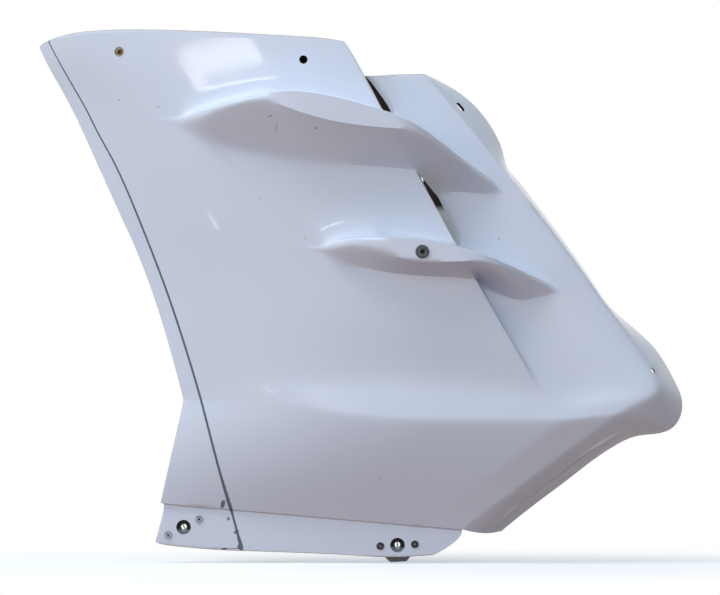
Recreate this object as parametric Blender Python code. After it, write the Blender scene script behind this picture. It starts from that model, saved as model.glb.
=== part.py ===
"""Fairing side panel of a motorbike, left-hand side, moulded in glass fibre.

One shell carries everything: a convex outer skin, a recessed vent panel behind its trailing
edge, two hollow fins that bridge the vents, a belly facet, a joggled fixing strip and folded
returns. Quarter-turn receptacles, blind rivets, a fin screw and two captive nuts are fitted to it.

Lengths are in millimetres in the tables and metres in the scene. +Z is up, the outer face looks
towards -Y, the front of the bike is at -X, and the origin is the middle of the fixing strip's
outer face. "Proud" is how far a point stands out from the plane of that strip.
"""

import math

import bmesh
import bpy
import numpy as np
from mathutils import Matrix, Vector

MM = 0.001

# Shell laminate and its joggled strip
WALL = 3.0
JOGGLE_STEP = 3.0
JOGGLE_RUN = 1.6
STRIP_TILT = math.radians(-4.8)
FASTENER_SPACING = 216.4
REACH = FASTENER_SPACING / 2

# Outlines of the shell in the plane of the strip, as (x, z)
FRONT_EDGE = [(-253.8, 495), (-252.5, 488.5), (-236.5, 461), (-218, 426), (-181, 345), (-144.2, 262),
              (-121, 190), (-108, 140)]
TRAILING_EDGE = [(55, 497), (75, 461), (126, 367), (187, 256), (220, 198), (262, 128)]
TOP_EDGE = [(-252.5, 494), (-244, 499.5), (-227, 505), (-200, 508.5), (-160, 509), (-90, 507), (-10, 502.5),
            (35, 500), (57, 496.5)]
RECESS_TOP = [(76, 462), (110, 464.5), (139, 464.8)]
RECESS_FOLD = [(139, 460), (206, 379), (258, 313), (314, 237), (344, 193), (371, 151)]
RAMP_CORNER = (364, 141)
BELLY_TOP_CORNER = (325, 122)
SEAM_ENDS = [(-131, 33.5), (173, 7)]
STRIP_NOTCH = 4.5
STRIP_FRONT_END = [(-REACH - 21.8, 17), (-REACH - 28.8, -7)]
STRIP_REAR_END = [(REACH + 62.8, -3), (REACH + 38.8, -19)]
STRIP_BOTTOM = [STRIP_FRONT_END[1], (4 - REACH, -13), (-30, -15.5), (50, -18.6), (REACH - 8.2, -21.5),
                STRIP_REAR_END[1]]

# Gap seen between trailing edge and vent panel, by height
VENT_GAP = [(128, 5), (150, 3.5), (200, 2), (256, 2), (290, 3), (318, 4), (345, 7), (432, 6.5),
            (461, 1.5)]

# How proud the skin stands, by height: front edge, soft ridge and trailing edge
EDGE_PROUD = [(120, 12), (200, 16), (300, 16), (430, 12), (495, 9)]
RIDGE_PROUD = [(120, 38), (200, 39), (300, 39), (430, 33), (495, 29)]
TRAIL_PROUD = [(120, 49), (200, 54), (292, 58), (367, 57), (430, 54), (497, 50)]
RIDGE_SHARE = [(120, 0.255), (218, 0.28), (298, 0.26), (423, 0.17), (495, 0.12)]
EDGE_ROLL = 4.0
EDGE_ROLL_SHARE = 0.2
SKIN_CROWN = 4.5
FOLD_PROUD = [(144, 39), (160, 33), (193, 30), (237, 28), (313, 26), (379, 24), (460, 22)]
VENT_DEPTH = [(128, 0.4), (150, 3.5), (200, 15), (256, 27), (290, 29), (345, 30), (461, 30)]

# Fins: the lines of top root, ridge, facet foot and lower root, as (x, z)
UPPER_FIN = {
    "top": [(-250, 436), (-150, 429), (-112, 423), (-102, 425), (-75, 432), (-41, 440), (-10, 446),
            (5, 447.5), (29, 445), (50, 440), (89, 428), (125, 416), (153, 394), (176, 377),
            (199, 362.5), (206, 359), (240, 366)],
    "ridge": [(-250, 426), (-150, 423), (-112, 420.5), (-102, 425), (-75, 431.5), (-41, 439), (-10, 445),
              (5, 446.5), (29, 444), (50, 438.5), (89, 427), (125, 415), (153, 393), (176, 376),
              (199, 360.5), (205, 355), (240, 354)],
    "foot": [(-250, 414), (-150, 417), (-112, 416.5), (-102, 414.5), (-75, 425), (-41, 435), (-14, 438),
             (-2, 430), (10, 422.5), (36, 414.5), (73, 410), (96, 408.5), (126, 406), (153, 388),
             (176, 371.5), (199, 356), (205, 351), (240, 342)],
    "root": [(-250, 400), (-150, 409), (-112, 413.5), (-102, 410), (-90, 399), (-66, 393), (-41, 385),
             (-9, 380), (29, 374.5), (90, 371), (123, 369), (144, 345), (175, 347), (191, 344.5),
             (205, 346), (240, 330)],
    "rise": [(-106.5, 0), (-98, 10), (-75, 21), (-41, 34), (-12, 47), (30, 75)],
    "fall": [(125, 96), (153, 73), (176, 53), (199, 33), (206, 25), (260, -60)],
    "facet": 96.0,
    "nose": 5,
    "facet_end": 8,
}
LOWER_FIN = {
    "top": [(-180, 320), (-50, 306), (32, 294), (42, 299), (75, 301), (106, 301.5), (126, 300),
            (150, 296.5), (165, 293), (190, 286.5), (222, 272.5), (252, 259.5), (264, 256), (320, 262)],
    "ridge": [(-180, 311), (-50, 301), (32, 291.5), (42, 299), (75, 300.5), (106, 300.5), (126, 299),
              (150, 295.5), (165, 292), (190, 285.3), (222, 271.3), (252, 258.3), (264, 252), (320, 250)],
    "foot": [(-180, 300), (-50, 296), (32, 288.5), (42, 287), (60, 293), (75, 295), (92, 290),
             (102, 281.5), (122, 276.5), (150, 275.8), (181, 277), (192, 278), (222, 267), (252, 255),
             (264, 249), (320, 238)],
    "root": [(-180, 289), (-50, 290), (32, 286), (42, 281), (55, 274.5), (72, 270), (90, 266),
             (117, 263), (150, 261.6), (186, 258.5), (207, 226), (222, 231.5), (252, 243), (264, 245),
             (320, 224)],
    "rise": [(32, 0), (40, 9), (60, 18), (75, 24), (98, 37), (140, 48)],
    "fall": [(190, 88), (222, 62), (252, 37), (264, 26), (320, -60)],
    "facet": 88.0,
    "nose": 6,
    "facet_end": 8,
}
FIN_LINES = ("top", "ridge", "foot", "root")

# Flare above the belly crease, as (x, z), and how proud each line stands, as (x, proud)
FLARE = [(-110, 152), (-15, 161), (50, 163), (140, 160), (200, 156), (250, 149), (262, 143), (330, 153),
         (371, 151)]
RAMP = [(-108, 144), (-14, 148), (50, 144), (140, 139), (250, 135), (264, 131), (330, 139), (364, 141)]
CREASE = [(-107, 137), (-13, 136), (22, 128), (70, 121), (140, 117), (260, 117), (325, 122)]
FLARE_PROUD = [(-110, 13), (-15, 38), (50, 42.5), (140, 45), (250, 46.5), (262, 43), (330, 37), (371, 37)]
RAMP_PROUD = [(-108, 12.5), (-14, 38.5), (50, 45), (140, 49), (250, 49.5), (264, 49), (330, 43), (364, 39)]
CREASE_PROUD = [(-107, 12), (-13, 38), (22, 44), (70, 49), (140, 52), (260, 52), (325, 46)]
BELLY_CROWN = 4.0

# Returns folded back from the right-hand fold: where each row of the shell ends, from the top down to the
# seam as (x, z), and how far that raw edge is set back, by height on the fold and by share of the belly
RAW_EDGE = [(141, 463), (180.5, 436.5), (211.5, 391.5), (216, 372), (228, 358), (237.5, 345.2), (251, 327.5),
            (276.5, 293.5), (302, 257.2), (308, 248.1), (315.5, 236.8), (328.5, 223), (346, 207.2), (367.5, 186),
            (385.5, 154), (392.8, 133), (382.4, 109.4), (346, 101.6), (310, 82), (277.6, 57), (243, 30.5),
            (213.5, 4)]
RETURN_BACK = [(151, 44), (193, 42), (237, 38), (313, 36), (379, 34), (433, 34), (447, 26), (462, 14)]
BELLY_BACK = [(0, 40), (1, 27)]
RAMP_BACK = 44.0
SEAM_SAG = 3.0
DRAW_OUT = 0.5
RIM_ROUND = 2.0
RETURN_SHARES = (0.28, 0.53, 0.66, 0.80, 1.0)
RETURN_BEND = 1.5
RETURN_STRAIGHT = 0.45
GROOVE_SHARE = 0.66
GROOVE_DEPTH = [(0, 0), (0.2, 3), (0.4, 5), (0.6, 5), (0.8, 4), (1, 0)]
GROOVE_TOWARDS = (-0.3, -0.4, 0.75)
LIP_BACK = 13.0
LIP_TUCK = 8.5
LIP_DROP = 1.0
LIP_UP = 18.0
LIP_DOWN = 5.0

# Columns of the shell between its edges
BAND_SHARES = (0.0, 0.2, 1.0)
SKIN_HEIGHTS = (120, 290, 420, 500)
SKIN_SHARES = [(0.12, 0.25, 0.165, 0.14), (0.24, 0.39, 0.208, 0.26), (0.36, 0.432, 0.243, 0.38),
               (0.47, 0.4695, 0.30, 0.49), (0.58, 0.577, 0.43, 0.60), (0.68, 0.711, 0.577, 0.70),
               (0.79, 0.816, 0.66, 0.80), (0.90, 0.912, 0.82, 0.90), (1.0, 1.0, 1.0, 1.0)]
RECESS_HEIGHTS = (120, 250, 355, 460)
RECESS_SHARES = [(0.0, 0.0, 0.0, 0.0), (0.28, 0.22, 0.26, 0.28), (0.55, 0.43, 0.52, 0.55),
                 (0.79, 0.64, 0.77, 0.79), (1.0, 1.0, 1.0, 1.0)]

# Rows of the shell between its lines
EDGE_ROWS = (0.35, 0.72)
GAP_ROW = 0.5
SIDE_ROWS = (0.27, 0.6)
TURN_ROW = 0.5
BELLY_ROWS = (0.25, 0.5, 0.75)

# How sharp the edge lines are: a fin's lines ahead of its facet, along it and behind it, then the others
FIN_SHARP = {
    "top": (0.5, 0.6, 0.5),
    "ridge": (0.7, 1.0, 0.8),
    "foot": (0.3, 1.0, 0.6),
    "root": (0.9, 0.9, 0.6),
}
TIP_SHARP = 0.6
CREASE_SHARP = 0.3
STEP_SHARP = (0.9, 0.6)
FOLD_SHARP = 0.15
CORNER_SHARP = 0.9

# Holes in the shell
FASTENER_HOLE = 14.6
UPPER_HOLES = {"front": ((-171, 486.5), 9.6), "rear": ((13.5, 478), 8.4)}
FIN_SCREW_AT = (131.7, 286)
EAR_SLOT_AT = (171, 432)
EAR_SLOT = (6.5, 11.0)
EAR_SLOT_TURN = math.radians(50)
DIMPLE_AT = (365, 168)
DIMPLE = 19.0
DIMPLE_DEEP = 1.8
DIMPLE_HOLE = 6.0

# Hardware
GAP = 0.3
RIVET_PITCH = 34.9
RIVET_SHANK = 3.2
RIVET_HEAD = 7.6
RIVET_HEAD_HIGH = 1.9
RIVET_TAIL = 4.8
RIVET_TAIL_LONG = 3.0
RIVET_CORE = 1.0
PLATE = 1.2
EAR_RADIUS = 5.6
BODY_WIDE = 20.0
BODY_TALL = 34.0
CUP_MOUTH = 15.0
CUP_BASE = 9.0
CUP_DEEP = 7.0
CUP_OPENING = 5.5
WIRE = 1.7
WIRE_FOOT = 8.0
RECEPTACLES = {"front": (-0.5, math.radians(26.6)), "rear": (0.5, math.radians(3.0))}
SCREW_SHANK = 6.0
SCREW_HEAD = 13.6
SCREW_HEAD_HIGH = 3.3
SCREW_SOCKET = 4.0
SCREW_SOCKET_DEEP = 2.2
SCREW_LONG = 14.0
WASHER = 12.0
WASHER_THICK = 1.2
NUT_FLATS = 10.0
NUT_HIGH = 5.0
CAPTIVE_FLANGE = 16.0
CAPTIVE_FLANGE_THICK = 1.5
CAPTIVE_BARREL = 9.0
CAPTIVE_HIGH = 9.0
CAPTIVE_BORE = 5.0


def curve(points):
    """A smooth function through (t, value) points that never overshoots them."""
    t, v = (np.array(column, float) for column in zip(*sorted(points)))
    run, slope = np.diff(t), np.diff(v) / np.diff(t)
    tangent = np.concatenate([slope[:1], np.zeros(len(t) - 2), slope[-1:]])
    for i in range(1, len(t) - 1):
        if slope[i - 1] * slope[i] > 0:
            before, after = 2 * run[i] + run[i - 1], run[i] + 2 * run[i - 1]
            tangent[i] = (before + after) / (before / slope[i - 1] + after / slope[i])

    def value(at):
        i = int(np.clip(np.searchsorted(t, at) - 1, 0, len(t) - 2))
        if at <= t[0] or at >= t[-1]:
            end = 0 if at <= t[0] else -1
            return float(v[end] + tangent[end] * (at - t[end]))
        u = (at - t[i]) / run[i]
        return float(
            v[i] * (1 + 2 * u) * (1 - u) ** 2
            + v[i + 1] * u * u * (3 - 2 * u)
            + run[i] * u * (1 - u) * (tangent[i] * (1 - u) - tangent[i + 1] * u)
        )

    return value


def by_height(points):
    """The x of an outline as a function of height."""
    return curve([(z, x) for x, z in points])


def mix(a, b, share):
    return a + (b - a) * share


front_edge = by_height(FRONT_EDGE)
trailing_edge = by_height(TRAILING_EDGE)
recess_fold = by_height(RECESS_FOLD)
vent_gap = curve(VENT_GAP)
edge_proud = curve(EDGE_PROUD)
ridge_proud = curve(RIDGE_PROUD)
trail_proud = curve(TRAIL_PROUD)
ridge_share = curve(RIDGE_SHARE)
fold_proud = curve(FOLD_PROUD)
vent_depth = curve(VENT_DEPTH)


def recess_edge(z):
    return trailing_edge(z) + vent_gap(z)


def skin_proud(x, z):
    """How proud the outer skin stands: a turned band along the front edge, then a crowned side."""
    share = (x - front_edge(z)) / (trailing_edge(z) - front_edge(z))
    ridge = ridge_share(z)
    if share < ridge:
        along = share / ridge
        rolled = EDGE_ROLL * (1 - min(along / EDGE_ROLL_SHARE, 1)) ** 2
        return mix(edge_proud(z), ridge_proud(z), along) - rolled
    along = (share - ridge) / (1 - ridge)
    return mix(ridge_proud(z), trail_proud(z), along) + SKIN_CROWN * 4 * along * (1 - along)


def recess_proud(x, z):
    """How proud the vent panel stands, from its edge behind the skin to the right-hand fold."""
    left = trail_proud(z) - vent_depth(z)
    along = (x - recess_edge(z)) / (recess_fold(z) - recess_edge(z))
    return mix(left, fold_proud(z), along)


def fin_proud(fin, x, base):
    """A fin rises from its nose, is cut flat by its facet and falls to its tip."""
    crest = min(curve(fin["rise"])(x) + base, fin["facet"], curve(fin["fall"])(x))
    return max(crest, base)


class Column:
    """One column of the shell: its x by height above the crease, and the surface that it lies on."""

    def __init__(self, place, proud):
        self.place = place
        self.proud = proud


def shell_columns():
    def band(share):
        return Column(
            lambda z: mix(front_edge(z), trailing_edge(z), share * ridge_share(z)), skin_proud
        )

    def side(shares):
        share = curve(list(zip(SKIN_HEIGHTS, shares)))
        return Column(
            lambda z: mix(front_edge(z), trailing_edge(z), mix(ridge_share(z), 1, share(z))), skin_proud
        )

    def recess(shares):
        share = curve(list(zip(RECESS_HEIGHTS, shares)))
        return Column(lambda z: mix(recess_edge(z), recess_fold(z), share(z)), recess_proud)

    return (
        [band(share) for share in BAND_SHARES]
        + [side(shares) for shares in SKIN_SHARES]
        + [recess(shares) for shares in RECESS_SHARES]
    )


COLUMNS = shell_columns()
TRAIL = len(BAND_SHARES) + len(SKIN_SHARES) - 1
RECESS = TRAIL + 1
FOLD = len(COLUMNS) - 1


def on_line(column, line):
    """Where a column crosses a line that is given as height by x, found step by step."""
    z = line(column.place(SKIN_HEIGHTS[1]))
    for _ in range(40):
        z = mix(z, line(column.place(z)), 0.7)
    return column.place(z), z


def feature_row(line, proud=None, fin=None):
    """A row of the shell along a line: the point of each column on it, as (x, proud, z)."""
    row = []
    for column in COLUMNS:
        x, z = on_line(column, curve(line))
        base = column.proud(x, z)
        if fin:
            base = fin_proud(fin, x, base)
        row.append((x, curve(proud)(x) if proud else base, z))
    return row


def between(upper, lower, share):
    """A row part of the way between two rows, back on the surface of its column."""
    row = []
    for column, above, below in zip(COLUMNS, upper, lower):
        z = mix(above[2], below[2], share)
        x = column.place(z)
        row.append((x, column.proud(x, z), z))
    return row


def top_row():
    """The trimmed top edge of the skin, and of the vent panel further down."""
    skin, recess = curve(TOP_EDGE), curve(RECESS_TOP)
    row = []
    for index, column in enumerate(COLUMNS):
        line = skin if index <= TRAIL else recess
        x, z = on_line(column, line)
        row.append((x, column.proud(x, z), z))
    return row


def line_row(line, proud, last):
    """A row below the vents: the skin's columns on a line, and the rest shared out as far as a last point."""
    height, stand = curve(line), curve(proud)
    places = [on_line(column, height)[0] for column in COLUMNS[: TRAIL + 1]]
    start = places[-1] + vent_gap(height(places[-1]))
    places += [mix(start, last[0], shares[0]) for shares in RECESS_SHARES[:-1]]
    return [(x, stand(x), height(x)) for x in places] + [(last[0], stand(last[0]), last[1])]


def belly_rows(crease, shares):
    """Rows of the belly facet from the crease down to the seam of the joggle."""
    (x0, z0), (x1, z1) = SEAM_ENDS
    start, end = crease[0][0], crease[-1][0]
    rows = []
    for share in shares:
        row = []
        for x, proud, z in crease:
            across = (x - start) / (end - start)
            foot = (mix(x0, x1, across), mix(z0, z1, across))
            crown = BELLY_CROWN * 4 * share * (1 - share)
            row.append(
                (mix(x, foot[0], share), mix(proud, JOGGLE_STEP, share) + crown, mix(z, foot[1], share))
            )
        rows.append(row)
    return rows


def strip_rows(seam):
    """The joggle and the flat strip below it."""
    bottom = curve(STRIP_BOTTOM)
    start, end = seam[0][0], seam[-1][0]
    notch = seam[0][0] + STRIP_NOTCH
    rows = [[(max(x, notch), 0.0, z - JOGGLE_RUN) for x, _, z in seam]]
    for step in (0, 1):
        (xa, za), (xb, zb) = STRIP_FRONT_END[step], STRIP_REAR_END[step]
        row = []
        for x, _, z in seam:
            across = (x - start) / (end - start)
            place = mix(xa, xb, across)
            height = mix(za, zb, across) if step == 0 else bottom(place)
            row.append((place, 0.0, height))
        rows.append(row)
    return rows


def shell_rows():
    """All rows of the shell from top to bottom, and the numbers of those that carry an edge."""
    rows, marks = [], {}

    def add(name, *new):
        marks[name] = len(rows)
        rows.extend(new)

    def fin_rows(name, fin):
        for line in FIN_LINES:
            own = fin if line in ("ridge", "foot") else None
            add(f"{name}_{line}", feature_row(fin[line], fin=own))

    top = top_row()
    first = feature_row(UPPER_FIN["top"])
    add("edge", top, *(between(top, first, share) for share in EDGE_ROWS))
    fin_rows("upper", UPPER_FIN)
    gap_end = feature_row(LOWER_FIN["top"])
    add("gap", between(rows[-1], gap_end, GAP_ROW))
    fin_rows("lower", LOWER_FIN)
    flare = line_row(FLARE, FLARE_PROUD, RECESS_FOLD[-1])
    add("side", *(between(rows[-1], flare, share) for share in SIDE_ROWS))
    add("flare", flare)
    ramp = line_row(RAMP, RAMP_PROUD, RAMP_CORNER)
    crease = line_row(CREASE, CREASE_PROUD, BELLY_TOP_CORNER)
    add("ramp", ramp, [tuple(mix(a, b, TURN_ROW) for a, b in zip(*pair)) for pair in zip(ramp, crease)])
    add("crease", crease)
    add("belly", *belly_rows(crease, BELLY_ROWS))
    seam = belly_rows(crease, (1.0,))[0]
    add("seam", seam)
    add("joggle", *strip_rows(seam))
    return rows, marks


def drawn_out(points):
    """Moves an outline's points outwards by what the smooth surface and its rounded rim draw them in."""
    points = [Vector(point) for point in points]
    moved = points[:1]
    for before, here, after in zip(points, points[1:], points[2:]):
        along = (after - before).normalized()
        pull = (before + after) / 2 - here
        outwards = Vector((-along.y, along.x))
        moved.append(here - (pull - pull.dot(along) * along) * DRAW_OUT + outwards * RIM_ROUND)
    return moved + points[-1:]


def return_points(row, number, marks):
    """The points of the folded return beyond one row's end, out to the raw edge."""
    x, proud, z = row[-1]
    outer = drawn_out(RAW_EDGE)[min(number, marks["seam"])]
    back, groove, sag = RAMP_BACK, 0.0, 0.0
    if number <= marks["flare"]:
        back = curve(RETURN_BACK)(z)
    elif number >= marks["crease"]:
        share = (number - marks["crease"]) / (marks["seam"] - marks["crease"])
        back, groove = curve(BELLY_BACK)(share), curve(GROOVE_DEPTH)(share)
        sag = SEAM_SAG if number == marks["seam"] else 0.0
    points = []
    for share in RETURN_SHARES:
        set_back = back * mix(share**RETURN_BEND, share, RETURN_STRAIGHT)
        drop = sag * 4 * share * (1 - share)
        point = (mix(x, outer[0], share), proud - set_back, mix(z, outer[1], share) - drop)
        sunk = groove if share == GROOVE_SHARE else 0.0
        points.append(tuple(at + sunk * towards for at, towards in zip(point, GROOVE_TOWARDS)))
    return points


def shell_sheet():
    """The outer face of the shell as one sheet of quads, open at the vents."""
    rows, marks = shell_rows()
    places = [row + return_points(row, number, marks) for number, row in enumerate(rows)]
    across, down = len(places[0]), len(places)
    bm = bmesh.new()
    bm.verts.layers.float.new("crease_vert")
    bmesh.ops.create_grid(bm, x_segments=across - 1, y_segments=down - 1, size=1.0)
    where = {}
    for vert in bm.verts:
        column = round((vert.co.x + 1) / 2 * (across - 1))
        row = round((1 - vert.co.y) / 2 * (down - 1))
        where[vert] = (row, column)
        x, proud, z = places[row][column]
        vert.co = Vector((x, -proud, z)) * MM
    open_rows = set(range(marks["edge"], marks["upper_top"]))
    open_rows |= set(range(marks["upper_root"], marks["lower_top"]))
    gone = []
    for face in bm.faces:
        row = min(where[v][0] for v in face.verts)
        column = min(where[v][1] for v in face.verts)
        in_vent = column == TRAIL and row in open_rows
        past_strip = column >= FOLD and row >= marks["seam"]
        if in_vent or past_strip:
            gone.append(face)
    bmesh.ops.delete(bm, geom=gone, context="FACES")
    crease_edges(bm, where, marks)
    crease_corners(bm, where, marks)
    turn_vent_lip(bm, where, open_rows)
    bmesh.ops.recalc_face_normals(bm, faces=bm.faces)
    if sum(face.normal.y * face.calc_area() for face in bm.faces) > 0:
        bmesh.ops.reverse_faces(bm, faces=bm.faces)
    return bm


def crease_edges(bm, where, marks):
    """How sharp each edge line of the moulding is."""
    layer = bm.edges.layers.float.new("crease_edge")
    tip = FOLD - 1
    for edge in bm.edges:
        (row_a, col_a), (row_b, col_b) = (where[v] for v in edge.verts)
        row, col = min(row_a, row_b), min(col_a, col_b)
        for name, fin in (("upper", UPPER_FIN), ("lower", LOWER_FIN)):
            line = row - marks[f"{name}_top"]
            if row_a == row_b and 0 <= line < len(FIN_LINES) and fin["nose"] <= col < tip:
                part = 0 if col < fin["facet_end"] else 1 if col < RECESS else 2
                edge[layer] = FIN_SHARP[FIN_LINES[line]][part]
            if row_a != row_b and 0 <= line < len(FIN_LINES) - 1 and col == tip:
                edge[layer] = TIP_SHARP
        if row_a == row_b and row == marks["crease"]:
            edge[layer] = CREASE_SHARP
        if row_a == row_b and row in (marks["seam"], marks["joggle"]):
            edge[layer] = 1.0
        if row_a != row_b and col in (TRAIL, RECESS) and marks["lower_root"] <= row < marks["flare"]:
            edge[layer] = STEP_SHARP[col - TRAIL]
        if row_a != row_b and col == FOLD and row >= marks["crease"]:
            edge[layer] = FOLD_SHARP


def crease_corners(bm, where, marks):
    """Keeps the outline's corners from being rounded away."""
    layer = bm.verts.layers.float["crease_vert"]
    raw = max(column for _, column in where.values())
    corners = {(0, 0), (0, TRAIL), (0, RECESS), (0, raw), (marks["seam"], raw)}
    for vert, place in where.items():
        if vert.is_valid and place in corners:
            vert[layer] = CORNER_SHARP


def turn_vent_lip(bm, where, open_rows):
    """Folds the vent panel's free edge back behind the skin, and past the fins where it ends at one."""
    edges = [
        edge for edge in bm.edges
        if edge.is_boundary
        and all(where[v][1] == RECESS for v in edge.verts)
        and min(where[v][0] for v in edge.verts) in open_rows
    ]
    made = bmesh.ops.extrude_edge_only(bm, edges=edges)["geom"]
    verts = [item for item in made if isinstance(item, bmesh.types.BMVert)]
    bmesh.ops.translate(bm, verts=verts, vec=Vector((-LIP_TUCK, LIP_BACK, -LIP_DROP)) * MM)
    layer = bm.verts.layers.float["crease_vert"]
    for vert in verts:
        rows = [where[v][0] for edge in vert.link_edges for v in edge.verts if v in where]
        if len(vert.link_faces) == 1 and rows[0] > 0:
            vert[layer] = CORNER_SHARP
            upper = vert.co.z > vert.link_faces[0].calc_center_median().z
            vert.co.z += (LIP_UP if upper else -LIP_DOWN) * MM


def material(name, colour, roughness, metallic=0.0):
    made = bpy.data.materials.new(name)
    made.use_nodes = True
    shader = made.node_tree.nodes["Principled BSDF"]
    shader.inputs["Base Color"].default_value = (*colour, 1.0)
    shader.inputs["Roughness"].default_value = roughness
    shader.inputs["Metallic"].default_value = metallic
    return made


def new_object(name, bm, finish, smooth=40):
    mesh = bpy.data.meshes.new(name)
    bm.to_mesh(mesh)
    bm.free()
    mesh.shade_smooth()
    mesh.set_sharp_from_angle(angle=math.radians(smooth))
    made = bpy.data.objects.new(name, mesh)
    if finish:
        mesh.materials.append(finish)
    bpy.context.scene.collection.objects.link(made)
    return made


def turned(profile, sides):
    """A closed solid of revolution about +Y from (radius, y) points that begin and end on the axis."""
    bm = bmesh.new()
    verts = [bm.verts.new((radius * MM, y * MM, 0)) for radius, y in profile]
    edges = [bm.edges.new(pair) for pair in zip(verts, verts[1:])]
    bmesh.ops.spin(
        bm, geom=verts + edges, axis=(0, 1, 0), cent=(0, 0, 0), angle=math.tau, steps=sides,
        use_merge=True,
    )
    bmesh.ops.remove_doubles(bm, verts=bm.verts, dist=0.01 * MM)
    bmesh.ops.recalc_face_normals(bm, faces=bm.faces)
    return bm


def ring(profile, sides):
    """A closed ring about +Y from a closed loop of (radius, y) points."""
    bm = bmesh.new()
    verts = [bm.verts.new((radius * MM, y * MM, 0)) for radius, y in profile]
    edges = [bm.edges.new(pair) for pair in zip(verts, verts[1:] + verts[:1])]
    bmesh.ops.spin(
        bm, geom=verts + edges, axis=(0, 1, 0), cent=(0, 0, 0), angle=math.tau, steps=sides,
        use_merge=True,
    )
    bmesh.ops.remove_doubles(bm, verts=bm.verts, dist=0.01 * MM)
    bmesh.ops.recalc_face_normals(bm, faces=bm.faces)
    return bm


def prism(outline, start, end):
    """A closed solid from an (x, z) outline, between two places along Y."""
    bm = bmesh.new()
    face = bm.faces.new([bm.verts.new((x * MM, start * MM, z * MM)) for x, z in outline])
    made = bmesh.ops.extrude_face_region(bm, geom=[face])["geom"]
    verts = [item for item in made if isinstance(item, bmesh.types.BMVert)]
    bmesh.ops.translate(bm, verts=verts, vec=(0, (end - start) * MM, 0))
    bmesh.ops.recalc_face_normals(bm, faces=bm.faces)
    return bm


def arc(radius, start, end, steps, centre=(0.0, 0.0)):
    """Points of an arc in the (x, z) plane, angles in degrees."""
    angles = [math.radians(mix(start, end, i / steps)) for i in range(steps + 1)]
    return [(centre[0] + radius * math.cos(a), centre[1] + radius * math.sin(a)) for a in angles]


def stood(thing, at, turn=0.0, aim=None):
    """Places an object that was made about +Y: turned about Y, aimed along a direction, set at a place."""
    matrix = Matrix.Rotation(turn, 4, "Y")
    if aim is not None:
        matrix = Vector((0, 1, 0)).rotation_difference(Vector(aim)).to_matrix().to_4x4() @ matrix
    thing.matrix_world = Matrix.Translation(Vector(at) * MM) @ matrix
    return thing


def combine(target, bm, operation="DIFFERENCE"):
    """Joins a bmesh to an object, or cuts it out, with a Boolean whose helper stays in the scene."""
    helper = new_object(f"helper_{target.name}_{len(target.modifiers)}", bm, None)
    helper.hide_render = True
    helper.display_type = "WIRE"
    modifier = target.modifiers.new(helper.name, "BOOLEAN")
    modifier.operation = operation
    modifier.solver = "EXACT"
    modifier.object = helper
    return helper


def fastener_place(side):
    """Centre of a quarter-turn fixing on the strip, as (x, z)."""
    share, _ = RECEPTACLES[side]
    reach = share * FASTENER_SPACING
    return reach * math.cos(STRIP_TILT), reach * math.sin(STRIP_TILT)


def rivet_places(side):
    x, z = fastener_place(side)
    turn = RECEPTACLES[side][1]
    step = (math.cos(turn) * RIVET_PITCH / 2, math.sin(turn) * RIVET_PITCH / 2)
    return [(x - step[0], z - step[1]), (x + step[0], z + step[1])]


def face_at(sheet, x, z):
    """Where a line along +Y meets the shell's outer face, and the face's outward direction."""
    hit, place, normal, _ = sheet.ray_cast(Vector((x * MM, -1.0, z * MM)), Vector((0, 1, 0)))
    if not hit:
        raise ValueError(f"nothing of the shell at {x}, {z}")
    return place / MM, normal


def back_of(sheet, place, normal):
    """The inner face straight behind a point of the outer face."""
    start = (place - normal * 6 * WALL) * MM
    hit, inner, _, _ = sheet.ray_cast(start, normal)
    if not hit:
        raise ValueError("nothing behind that point")
    return inner / MM


def rod(across, half_length, sides=24):
    radius = across / 2
    return turned([(0, -half_length), (radius, -half_length), (radius, half_length), (0, half_length)], sides)


def make_shell(finish):
    """The moulded shell before its holes: the sheet, its wall and its smooth form."""
    shell = new_object("panel_shell", shell_sheet(), finish)
    wall = shell.modifiers.new("Laminate", "SOLIDIFY")
    wall.thickness = WALL * MM
    wall.offset = -1.0
    wall.use_even_offset = True
    wall.edge_crease_inner = 0.9
    wall.edge_crease_outer = 0.9
    form = shell.modifiers.new("Form", "SUBSURF")
    form.levels = 1
    form.render_levels = 1
    form.use_limit_surface = False
    return shell


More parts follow.
